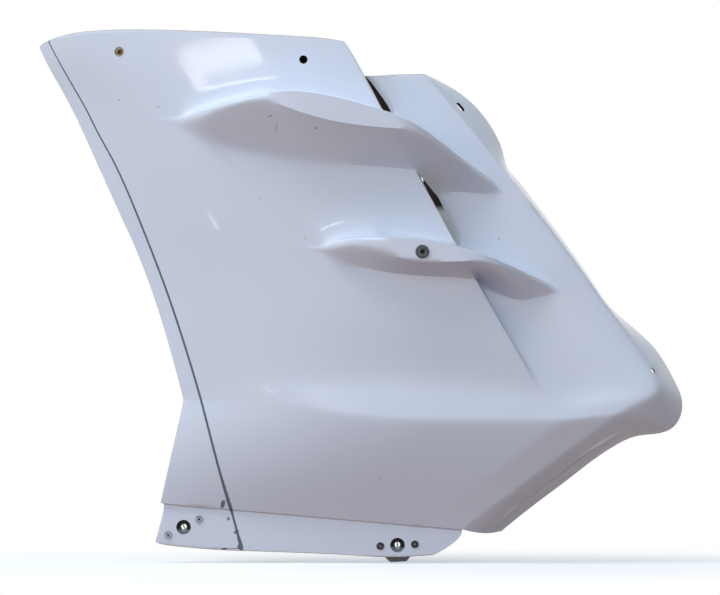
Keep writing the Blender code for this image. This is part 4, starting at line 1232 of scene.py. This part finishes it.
def shell_cutters():
    """Every hole of the shell as (place, solid, turn, finish of its wall), made about +Y."""
    reach = CUTTER_REACH
    cutters = []
    # Most hole walls take the near-black painted shade; the front upper hole and the fin screw's hole show
    # the trimmed edge
    for side in RECEPTACLES:
        cutters.append((fixing_place(side), rod(FASTENER_HOLE, reach), 0.0, PAINTED_SHADE_WALL))
        cutters += [(at, rod(RIVET_SHANK + 2 * GAP, reach), 0.0, PAINTED_SHADE_WALL) for at in rivet_places(side)]
    for (at, across), finish in zip(UPPER_HOLES.values(), (CUT_WALL, PAINTED_SHADE_WALL)):
        cutters.append((at, rod(across, reach), 0.0, finish))
    cutters.append((FIN_SCREW_AT, rod(SCREW_SHANK + 2 * GAP, reach), 0.0, CUT_WALL))
    half, shift = EAR_SLOT[0] / 2, (EAR_SLOT[1] - EAR_SLOT[0]) / 2
    slot = arc(half, -90, 90, 16, (shift, 0)) + arc(half, 90, 270, 16, (-shift, 0))
    cutters.append((EAR_SLOT_AT, prism(slot, -reach, reach), EAR_SLOT_TURN, PAINTED_SHADE_WALL))
    cutters.append((DIMPLE_AT, rod(DIMPLE_HOLE, reach), 0.0, PAINTED_SHADE_WALL))
    return cutters


def dimple_cutter():
    """The ball that presses the shallow dish round the small hole of the return."""
    ball = ((DIMPLE / 2) ** 2 + DIMPLE_DEEP**2) / (2 * DIMPLE_DEEP)
    angles = [math.pi * i / BALL_STEPS for i in range(BALL_STEPS + 1)]
    half_turn = [(ball * math.sin(angle), -ball * math.cos(angle)) for angle in angles]
    return turned(half_turn, 2 * BALL_STEPS), ball - DIMPLE_DEEP


def face_at(tree, x, z):
    """Where a line along +Y meets the outer face, and the face's outward direction."""
    place, normal, _, _ = tree.ray_cast(Vector((x * MM, IN_FRONT, z * MM)), Vector((0, 1, 0)))
    if place is None:
        raise RuntimeError(f"nothing of the shell at {x}, {z}")
    return place / MM, normal


def back_of(tree, place, normal, wall):
    """The inner face straight behind a point of the outer face."""
    start = (place - normal * WALLS_BEHIND * wall) * MM
    inner, _, _, _ = tree.ray_cast(start, normal)
    if inner is None:
        raise RuntimeError("nothing behind that point")
    return inner / MM


def whole_shell(settings, finishes):
    """The shell before its holes: the sheet, its wall and its smooth form."""
    thing = work_object(shell_sheet(), finishes)
    wall = thing.modifiers.new("Laminate", "SOLIDIFY")
    wall.thickness = settings.wall
    wall.offset = -1.0
    wall.use_even_offset = True
    wall.edge_crease_inner = RIM_SHARP
    wall.edge_crease_outer = RIM_SHARP
    wall.material_offset = 1
    wall.material_offset_rim = CUT_WALL
    form = thing.modifiers.new("Form", "SUBSURF")
    form.levels = settings.fineness
    form.render_levels = settings.fineness
    mesh = evaluated(thing)
    bpy.data.objects.remove(thing)
    return mesh


def shell_tree(mesh):
    """What finds where a line meets the shell."""
    bm = bmesh.new()
    bm.from_mesh(mesh)
    tree = BVHTree.FromBMesh(bm)
    bm.free()
    return tree


def vertex_places(mesh):
    """The places of a mesh's vertices, in millimetres."""
    places = np.empty(len(mesh.vertices) * 3)
    mesh.vertices.foreach_get("co", places)
    return places.reshape(-1, 3) / MM


def keep_shading(cut, whole):
    """Gives the faces round the holes the smooth direction that the whole shell has there."""
    whole_bm = bmesh.new()
    whole_bm.from_mesh(whole)
    whole_bm.faces.ensure_lookup_table()
    whole_bm.normal_update()
    tree = BVHTree.FromBMesh(whole_bm)
    places = vertex_places(cut)
    near = np.zeros(len(places), bool)
    for (x, z), *_ in shell_cutters():
        near |= (places[:, 0] - x) ** 2 + (places[:, 2] - z) ** 2 < SHADED_ROUND**2
    normals = [Vector((0, 0, 0))] * len(cut.loops)
    for polygon in cut.polygons:
        for index in polygon.loop_indices:
            vertex = cut.loops[index].vertex_index
            if not near[vertex]:
                continue
            hit, _, face, _ = tree.find_nearest(cut.vertices[vertex].co)
            corners = whole_bm.faces[face].verts
            shares = poly_3d_calc([v.co for v in corners], hit)
            smooth = sum((v.normal * share for v, share in zip(corners, shares)), Vector()).normalized()
            if smooth.dot(polygon.normal) > SAME_WAY:
                normals[index] = smooth
    whole_bm.free()
    cut.normals_split_custom_set(normals)


def mark_line_and_edges(mesh):
    """Stores each point's distance from the dark line, in half widths, and from a cut edge."""
    places = vertex_places(mesh)
    line, width = curve(LINE_PATH), curve(LINE_WIDTH)
    heights = np.linspace(LINE_PATH[-1][0], LINE_PATH[0][0], LINE_SAMPLES)
    across = np.array([line(z) for z in heights])
    lean = np.cos(np.arctan(np.gradient(across, heights)))
    z = places[:, 2]
    offset = (places[:, 0] - np.interp(z, heights, across)) * np.interp(z, heights, lean)
    offset /= np.interp(z, heights, [width(h) / 2 for h in heights])
    below = np.clip((LINE_PATH[-1][0] - z) * LINE_END_FADE, 0, LINE_FAR)
    offset = np.where(below > 0, np.hypot(offset, below), offset)
    rims = set()
    for polygon in mesh.polygons:
        if polygon.material_index == CUT_WALL:
            rims.update(polygon.vertices)
    rim_tree = KDTree(len(rims))
    for index in rims:
        rim_tree.insert(mesh.vertices[index].co, index)
    rim_tree.balance()
    from_edge = [min(rim_tree.find(v.co)[2] / MM, EDGE_FAR) for v in mesh.vertices]
    for name, values in (("line_offset", offset), ("from_edge", from_edge)):
        mesh.attributes.new(name, "FLOAT", "POINT").data.foreach_set("value", np.array(values, np.float32))


class FAIRING_OT_shell(bpy.types.Operator):
    """Make the painted shell with its fins, strip, returns and holes"""

    bl_idname = "fairing.shell"
    bl_label = "Painted shell"

    def execute(self, context):
        settings = context.scene.fairing_shell
        finishes = [paint_finish(settings), laminate_finish(settings), cut_edge_finish(settings),
                    painted_slit_shade_finish(settings)]
        whole = whole_shell(settings, finishes)
        tree = shell_tree(whole)
        holes = bmesh.new()
        for at, solid, turn, wall_finish in shell_cutters():
            place, normal = face_at(tree, *at)
            stand(solid, place, turn, -normal)
            for face in solid.faces:
                face.material_index = wall_finish
            put_in(holes, solid)
        body = bmesh.new()
        body.from_mesh(whole)
        body = boolean(body, holes, finishes=finishes)
        ball, lift = dimple_cutter()
        place, normal = face_at(tree, *DIMPLE_AT)
        body = boolean(body, stand(ball, place + normal * lift, 0.0, -normal), finishes=finishes)
        piece = finished("painted_shell", body, finishes, "panel_shell", angle=28)
        keep_shading(piece.data, whole)
        mark_line_and_edges(piece.data)
        bpy.data.meshes.remove(whole)
        return {"FINISHED"}


class FAIRING_OT_rivets(bpy.types.Operator):
    """Make the four blind rivets and the broken mandrels in them"""

    bl_idname = "fairing.rivets"
    bl_label = "Blind rivets"

    def execute(self, context):
        settings = context.scene.fairing_fixings
        both = {
            "front": [rivet_finish(settings), shaded_mandrel_finish(settings)],
            "rear": [shaded_rivet_finish(settings), pale_mandrel_finish(settings)],
        }
        for side, finishes in both.items():
            for letter, at in zip("ab", rivet_places(side)):
                body, mandrel = rivet_body(), rivet_mandrel()
                for face in mandrel.faces:
                    face.material_index = 1
                put_in(body, mandrel)
                stand(body, (at[0], 0, at[1]))
                node = f"rivet_{side}_{letter}"
                finished(f"blind_{node}", body, finishes, node, angle=30)
        return {"FINISHED"}


def rivet_body():
    """Domed head with a rolled lip round its core, shank, and a tail swollen by the pulled mandrel."""
    head, shank, tail, core = RIVET_HEAD / 2, RIVET_SHANK / 2, RIVET_TAIL / 2, RIVET_CORE
    back = JOGGLE_STEP + 2 * GAP + PLATE
    low = -GAP
    top = low - RIVET_HEAD_HIGH
    dome = [
        (mix(core + 0.4, head, math.cos(a)), mix(low - 0.35, top, math.sin(a)))
        for a in (math.radians(v) for v in (90, 75, 60, 45, 30, 15, 0))
    ]
    swell = [
        (mix(shank, tail, math.sin(math.pi * share)), back + RIVET_TAIL_LONG * share)
        for share in (0.1, 0.3, 0.5, 0.7, 0.9)
    ]
    profile = [(0, top + 1.3), (core, top + 1.3), (core, top + 0.35), (core + 0.12, top + 0.1), *dome]
    profile += [(head - 0.15, low), (shank, low), (shank, back), *swell, (core, back + RIVET_TAIL_LONG),
                (0, back + RIVET_TAIL_LONG)]
    return turned(profile, 48)


def rivet_mandrel():
    """The stub that snapped off inside the core, and the mandrel's head that was pulled into the tail."""
    top = -GAP - RIVET_HEAD_HIGH
    core = RIVET_CORE - 0.12
    back = JOGGLE_STEP + 2 * GAP + PLATE + RIVET_TAIL_LONG
    broken = [(0, top + 0.75), (core * 0.55, top + 0.6), (core, top + 0.9), (core, top + 1.6), (0, top + 1.6)]
    stub = turned(broken, 24)
    radius, middle = RIVET_CORE * 1.5, back - 0.4
    domed = [(radius * math.cos(a), middle + 1.1 * math.sin(a)) for a in (0.0, 0.4, 0.8, 1.2)]
    put_in(stub, turned([(0, middle), *domed, (0, back + 0.7)], 24))
    return stub


def plate_outline():
    """Outline of a receptacle plate: a tall body with a riveted ear on each side."""
    half, wide, tall, corner = RIVET_PITCH / 2, BODY_WIDE / 2, BODY_TALL / 2, BODY_CORNER
    return (
        arc(EAR_RADIUS, -65, 65, 14, (half, 0)) + arc(corner, 30, 90, 5, (wide - corner, tall - corner))
        + arc(corner, 90, 150, 5, (corner - wide, tall - corner)) + arc(EAR_RADIUS, 115, 245, 14, (-half, 0))
        + arc(corner, 210, 270, 5, (corner - wide, corner - tall))
        + arc(corner, 270, 330, 5, (wide - corner, corner - tall))
    )


def receptacle_body(side):
    """Stamped plate with two riveted ears and a drawn cup for the quarter-turn stud."""
    near = JOGGLE_STEP + GAP
    far = near + PLATE
    mouth, base, hole = CUP_MOUTH / 2, CUP_BASE / 2, CUP_OPENING / 2
    plate = soften(prism(plate_outline(), near, far), 0.2, 60)
    cup = turned(
        [(mouth, near + 0.2), (base, far + CUP_DEEP - PLATE), (hole, far + CUP_DEEP - PLATE),
         (hole, far + CUP_DEEP), (base + PLATE, far + CUP_DEEP), (mouth + PLATE, far - 0.2)], 64, closed=True,
    )
    plate = boolean(plate, rod(2 * mouth + 0.4, 4 * JOGGLE_STEP, 64))
    plate = boolean(plate, cup, "UNION")
    x, z = fixing_place(side)
    turn = RECEPTACLES[side][1]
    for end in (-1, 1):
        hole_bm = rod(RIVET_SHANK + 2 * GAP, 4 * JOGGLE_STEP, 32)
        plate = boolean(plate, stand(hole_bm, (end * RIVET_PITCH / 2, 0, 0)))
    soften(plate, 0.22, 40)
    return stand(plate, (x, 0, z), -turn)


def spring_mesh(side):
    """Bent wire that bridges the cup's opening for the stud's cam to pull against."""
    far = JOGGLE_STEP + GAP + PLATE
    low, high = far + GAP + WIRE / 2, far + CUP_DEEP + GAP + WIRE / 2
    foot, knee, crown = CUP_MOUTH / 2 + WIRE_FOOT, CUP_MOUTH / 2 + PLATE + WIRE, CUP_BASE / 2 + PLATE
    path = [(foot, low), (foot - 1.5, low), (knee + 1.2, low), (knee + 0.1, low + 0.2),
            (knee - 0.6, low + 1.4), (crown + 1.5, high - 1.6), (crown + 0.6, high - 0.2),
            (crown - 0.8, high), (1.5, high)]
    path += [(-z, y) for z, y in reversed(path)]
    data = bpy.data.curves.new("wire", "CURVE")
    data.dimensions = "3D"
    data.bevel_depth = WIRE / 2 * MM
    data.bevel_resolution = 6
    data.use_fill_caps = True
    spline = data.splines.new("NURBS")
    spline.points.add(len(path) - 1)
    for point, (z, y) in zip(spline.points, path):
        point.co = (0, y * MM, z * MM, 1)
    spline.order_u = 3
    spline.use_endpoint_u = True
    spline.resolution_u = 6
    thing = placed("wire", data)
    bm = bmesh.new()
    bm.from_mesh(evaluated(thing))
    bpy.data.objects.remove(thing)
    bmesh.ops.remove_doubles(bm, verts=bm.verts, dist=0.001 * MM)
    bmesh.ops.recalc_face_normals(bm, faces=bm.faces)
    x, z = fixing_place(side)
    return stand(bm, (x, 0, z), -RECEPTACLES[side][1])


class FAIRING_OT_receptacles(bpy.types.Operator):
    """Make the two quarter-turn receptacles: stamped plate, drawn cup and wire spring"""

    bl_idname = "fairing.receptacles"
    bl_label = "Quarter-turn receptacles"

    def execute(self, context):
        settings = context.scene.fairing_fixings
        plate, wire = receptacle_finish(settings), zinc_finish(settings)
        for side in RECEPTACLES:
            node = f"receptacle_plate_{side}"
            finished(f"stamped_plate_{side}", receptacle_body(side), [plate], node)
            node = f"receptacle_spring_{side}"
            finished(f"wire_spring_{side}", spring_mesh(side), [wire], node, angle=60)
        return {"FINISHED"}


def threads(radius, start, end, deep, outward=1):
    """The (radius, y) points of a thread's ridges between two places along its axis."""
    count = max(1, int(abs(end - start) / THREAD_PITCH))
    points = []
    for i in range(count):
        y = mix(start, end, i / count)
        step = (end - start) / count
        points += [(radius - outward * deep, y + step * 0.06), (radius, y + step * 0.44),
                   (radius, y + step * 0.56), (radius - outward * deep, y + step * 0.94)]
    return points


def fin_screw_body(place, normal):
    """M6 button-head screw: domed head with a hexagon socket, threaded shank with a chamfered end."""
    head, shank, high = SCREW_HEAD / 2, SCREW_SHANK / 2, SCREW_HEAD_HIGH
    dome = [(mix(head * 0.46, head, math.sin(a)), -0.25 - (high - 0.25) * math.cos(a))
            for a in (math.radians(v) for v in (0, 12, 25, 38, 50, 62, 74, 84, 90))]
    profile = [(0, -high), *dome, (head - 0.12, 0), (shank, 0), (shank, 1.5),
               *threads(shank, 1.5, SCREW_LONG - 0.8, THREAD_DEEP), (shank - 0.8, SCREW_LONG - 0.1),
               (shank - 1.0, SCREW_LONG), (0, SCREW_LONG)]
    screw = turned(profile, 64)
    socket = prism(hexagon(SCREW_SOCKET), -high - 1, SCREW_SOCKET_DEEP - high)
    screw = boolean(screw, socket)
    flat, corner = SCREW_SOCKET / 2, SCREW_SOCKET / math.sqrt(3)
    mouth = [(0, -high - 0.5), (corner + 0.35, -high - 0.5), (corner + 0.12, -high),
             (flat - 0.1, -high + 0.3), (0, -high + 0.3)]
    screw = boolean(screw, turned(mouth, 48))
    # Faces in the socket and its mouth take the flat black of the painted shade
    for face in screw.faces:
        middle = face.calc_center_median() / MM
        inside = math.hypot(middle.x, middle.z) < corner + 0.4 and middle.y > 0.05 - high
        face.material_index = int(inside and middle.y < 0)
    return stand(screw, place + normal * GAP, aim=-normal)


def fin_washer_body(place, normal):
    """Plain pressed washer with its edges rolled by the punch."""
    bore, outer, thick = SCREW_SHANK / 2 + GAP, WASHER / 2, WASHER_THICK
    washer = soften(turned([(bore, 0), (outer, 0), (outer, thick), (bore, thick)], 64, closed=True), 0.18, 60)
    return stand(washer, place - normal * GAP, aim=-normal)


def fin_nut_body(place, normal):
    """Hexagon nut with its corners chamfered on both sides and a plain bore chamfered at both ends."""
    corner, high, bore = NUT_FLATS / math.sqrt(3), NUT_HIGH, SCREW_SHANK / 2 + GAP
    nut = prism(hexagon(NUT_FLATS), 0, high)
    cone = turned([(0, 0), (NUT_FLATS / 2 - 0.1, 0), (corner + 0.05, 0.75), (corner + 0.05, high - 0.75),
                   (NUT_FLATS / 2 - 0.1, high), (0, high)], 96)
    nut = boolean(nut, cone, "INTERSECT")
    thread = [(0, -0.5), (bore + 0.5, -0.5), (bore + 0.5, 0.05), (bore, 0.45), (bore, high - 0.45),
              (bore + 0.5, high - 0.05), (bore + 0.5, high + 0.5), (0, high + 0.5)]
    nut = boolean(nut, turned(thread, 48))
    return stand(nut, place - normal * (2 * GAP + WASHER_THICK), aim=-normal)


class FAIRING_OT_fin_fixing(bpy.types.Operator):
    """Make the button-head screw in the lower fin, with its washer and nut behind"""

    bl_idname = "fairing.fin_fixing"
    bl_label = "Fin screw, washer and nut"

    def execute(self, context):
        settings = context.scene.fairing_fixings
        x, z = FIN_SCREW_AT
        normal = Vector((0, -1, 0))
        outer = Vector((x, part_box("fin_screw")[0].y / MM + SCREW_HEAD_HIGH + GAP, z))
        inner = Vector((x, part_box("fin_washer")[0].y / MM - GAP, z))
        zinc = zinc_finish(settings)
        screw = fin_screw_body(outer, normal)
        blacks = [black_oxide_finish(settings), socket_shade_finish(settings)]
        finished("button_head_screw", screw, blacks, "fin_screw", angle=30)
        finished("plain_washer", fin_washer_body(inner, normal), [zinc], "fin_washer", angle=30)
        finished("hexagon_nut", fin_nut_body(inner, normal), [zinc], "fin_nut", angle=25)
        return {"FINISHED"}


def blind_nut_body(inner, normal):
    """Flanged blind nut: a thin flange against the laminate, a closed barrel and a threaded bore."""
    bore, barrel, high = CAPTIVE_BORE / 2, CAPTIVE_BARREL / 2, CAPTIVE_HIGH
    flange, thick = CAPTIVE_FLANGE / 2, CAPTIVE_FLANGE_THICK
    floor = high - 1.5
    thread = threads(bore, 0.4, floor - 0.2, 0.35)
    profile = [(0, floor), (bore - 0.3, floor), *reversed(thread), (bore + 0.3, 0), (flange - 0.2, 0),
               (flange, 0.2), (flange, thick - 0.2), (flange - 0.2, thick), (barrel + 0.4, thick),
               (barrel, thick + 0.4), (barrel, high - 0.6), (barrel - 0.6, high), (0, high)]
    nut = turned(profile, 64)
    for face in nut.faces:
        middle = face.calc_center_median() / MM
        in_bore = math.hypot(middle.x, middle.z) < bore + 0.2
        on_flange = middle.y < 0.15
        face.material_index = 1 if in_bore else 0 if on_flange else 2
    return stand(nut, inner - normal * GAP, aim=-normal)


class FAIRING_OT_blind_nuts(bpy.types.Operator):
    """Make the blind nuts bonded behind the two upper holes"""

    bl_idname = "fairing.blind_nuts"
    bl_label = "Blind nuts"

    def execute(self, context):
        settings = context.scene.fairing_shell
        fixings = context.scene.fairing_fixings
        both = {
            "front": [flange_finish(fixings), brass_finish(fixings), brass_finish(fixings)],
            # The rear nut's flange and bore are painted near black as shade
            "rear": [shaded_nut_finish(fixings), shaded_nut_finish(fixings), brass_finish(fixings)],
        }
        whole = whole_shell(settings, ())
        tree = shell_tree(whole)
        bpy.data.meshes.remove(whole)
        for side, finishes in both.items():
            place, normal = face_at(tree, *UPPER_HOLES[side][0])
            nut = blind_nut_body(back_of(tree, place, normal, settings.wall / MM), normal)
            finished(f"blind_nut_{side}", nut, finishes, f"captive_nut_{side}", angle=30)
        return {"FINISHED"}


# The stage, in metres

# Floor: how its shaded patch is drawn out, where that fades, and the share of plain white there
WHITE = (1.0, 1.0, 1.0)
FLOOR_RADIUS = 8.0
FLOOR_DROP = 0.001
FLOOR_PATCH = (0.35, 1.0, 1.0)
FLOOR_FADE = (0.06, 0.34)
FLOOR_WHITE = (0.3, 1.0)

# Heights at which the soft light begins, is full and warm, is full and cool, and ends; 1 is straight up
LIGHT_BAND = (0.0, 0.2, 0.5, 0.8)

# Lamps above, then those mirrored in the paint as name, size, place and roll in degrees
SOFTBOX_SIZE = (1.2, 0.9)
KEY_AT = (-0.9, -0.9, 2.6)
FILL_AT = (0.5, -1.0, 2.6)
WINDOWS = (
    ("window", (0.36, 0.09), (-0.585, -2.95, 0.72), 32.0),
    ("window_side", (0.07, 0.09), (-0.745, -2.95, 0.57), 0.0),
    ("low_strip", (0.02, 0.03), (-0.58, -1.22, 0.10), 0.0),
)
WINDOW_TARGET = (-0.06, -0.04, 0.463)

# Camera, with its sensor in millimetres
CAMERA_AT = (0.070, -5.04, 0.2405)
SENSOR_WIDTH = 36.0
FARTHEST_SEEN = 50.0


def seen_directly(tree):
    """1 for a ray of the camera, of a reflection or through glass, and 0 for other light."""
    path = add(tree, "LightPath").outputs
    through = maths(tree, "MAXIMUM", path["Is Glossy Ray"], path["Is Transmission Ray"])
    return maths(tree, "MAXIMUM", path["Is Camera Ray"], through)


def floor_finish(settings):
    """Matt studio paper rolled out flat, whose tint colours only the light that it throws up.

    It is white to the camera and in reflections, and shaded where the panel stands over it.
    """
    made, tree, shader, place = new_material("pale_studio_floor")
    seen = seen_directly(tree)
    matt = add(tree, "BsdfDiffuse", {"Color": blended(tree, seen, settings.floor, WHITE)})
    white = add(tree, "Emission", {"Color": (*WHITE, 1.0), "Strength": 1.0})
    flat = add(tree, "VectorMath", {0: place, 1: FLOOR_PATCH}, operation="MULTIPLY").outputs[0]
    far = add(tree, "VectorMath", {0: flat}, operation="LENGTH").outputs["Value"]
    share = maths(tree, "MULTIPLY", seen, ranged(tree, far, *FLOOR_FADE, *FLOOR_WHITE))
    both = add(tree, "MixShader", {0: share, 1: matt.outputs[0], 2: white.outputs[0]})
    tree.links.new(both.outputs[0], tree.nodes["Material Output"].inputs["Surface"])
    tree.nodes.remove(shader)
    return made


def stage_world(settings):
    """Soft light, most from the left and just above the floor; white where a camera or a reflection looks."""
    world = bpy.data.worlds.new("studio")
    world.use_nodes = True
    tree = world.node_tree
    base = tree.nodes["Background"]
    direction = add(tree, "TexCoord").outputs["Generated"]
    parts = add(tree, "SeparateXYZ", {0: direction}).outputs
    height, left = parts["Z"], ranged(tree, parts["X"], 1.0, -1.0, 0.0, settings.world)
    start, full, cool, end = LIGHT_BAND
    band = maths(tree, "MINIMUM", ranged(tree, height, start, full), ranged(tree, height, end, cool))
    connect(tree, base, {
        "Color": blended(tree, ranged(tree, height, full, cool), settings.low, settings.high),
        "Strength": maths(tree, "MULTIPLY", left, band),
    })
    white = add(tree, "Background", {"Color": (*WHITE, 1.0), "Strength": 1.0})
    both = add(tree, "MixShader", {0: seen_directly(tree), 1: base.outputs[0], 2: white.outputs[0]})
    tree.links.new(both.outputs[0], tree.nodes["World Output"].inputs["Surface"])
    return world


def area_lamp(name, power, size, at, target, roll=0.0):
    """A soft lamp of a size in metres, looking at a target and rolled about that line by degrees."""
    data = bpy.data.lights.new(name, "AREA")
    data.shape = "RECTANGLE"
    data.size, data.size_y = size
    data.energy = power
    lamp = placed(name, data)
    lamp.location = at
    aim = (Vector(target) - Vector(at)).to_track_quat("-Z", "Y")
    lamp.rotation_euler = (aim @ Quaternion((0.0, 0.0, 1.0), math.radians(roll))).to_euler()
    return lamp


class FAIRING_OT_stage(bpy.types.Operator):
    """Make the pale floor, the soft light and the camera"""

    bl_idname = "fairing.stage"
    bl_label = "Stage"

    def execute(self, context):
        settings = context.scene.fairing_stage
        scene = context.scene
        scene.view_settings.view_transform = "Standard"
        scene.world = stage_world(settings)
        low, high = CAD_BOX
        middle = (low + high) / 2
        bm = bmesh.new()
        bmesh.ops.create_circle(bm, cap_ends=True, segments=96, radius=FLOOR_RADIUS)
        floor = placed("studio_floor", as_mesh("studio_floor", bm, [floor_finish(settings)]))
        floor.location = (middle.x, middle.y, low.z - FLOOR_DROP)
        softboxes = (("key_softbox", settings.key, KEY_AT), ("fill_softbox", settings.fill, FILL_AT))
        for name, power, at in softboxes:
            area_lamp(name, power, SOFTBOX_SIZE, at, middle).visible_glossy = False
        for name, size, at, roll in WINDOWS:
            area_lamp(name, settings.window * size[0] * size[1], size, at, WINDOW_TARGET, roll)
        data = bpy.data.cameras.new("camera")
        data.lens = settings.lens
        data.sensor_width = SENSOR_WIDTH
        data.clip_end = FARTHEST_SEEN
        camera = placed("camera", data)
        camera.location = CAMERA_AT
        camera.rotation_euler = (math.radians(90), 0, 0)
        scene.camera = camera
        return {"FINISHED"}


OPERATORS = (
    FAIRING_OT_shell,
    FAIRING_OT_rivets,
    FAIRING_OT_receptacles,
    FAIRING_OT_fin_fixing,
    FAIRING_OT_blind_nuts,
    FAIRING_OT_stage,
)


class FAIRING_PT_sidebar(bpy.types.Panel):
    """Lists the panel's pieces and their settings"""

    bl_label = "Fairing side panel"
    bl_idname = "FAIRING_PT_sidebar"
    bl_space_type = "VIEW_3D"
    bl_region_type = "UI"
    bl_category = "Fairing"

    def draw(self, context):
        for operator in OPERATORS:
            self.layout.operator(operator.bl_idname)
        scene = context.scene
        for group in (scene.fairing_shell, scene.fairing_fixings, scene.fairing_stage):
            box = self.layout.box()
            for name in group.__annotations__:
                box.prop(group, name)


CLASSES = (FairingShellSettings, FairingFixingSettings, FairingStageSettings, *OPERATORS, FAIRING_PT_sidebar)


def register():
    for item in CLASSES:
        bpy.utils.register_class(item)
    bpy.types.Scene.fairing_shell = PointerProperty(type=FairingShellSettings)
    bpy.types.Scene.fairing_fixings = PointerProperty(type=FairingFixingSettings)
    bpy.types.Scene.fairing_stage = PointerProperty(type=FairingStageSettings)


def unregister():
    del bpy.types.Scene.fairing_stage
    del bpy.types.Scene.fairing_fixings
    del bpy.types.Scene.fairing_shell
    for item in reversed(CLASSES):
        bpy.utils.unregister_class(item)


def main():
    register()
    for name in ("shell", "rivets", "receptacles", "fin_fixing", "blind_nuts", "stage"):
        getattr(bpy.ops.fairing, name)()


if __name__ == "__main__":
    main()
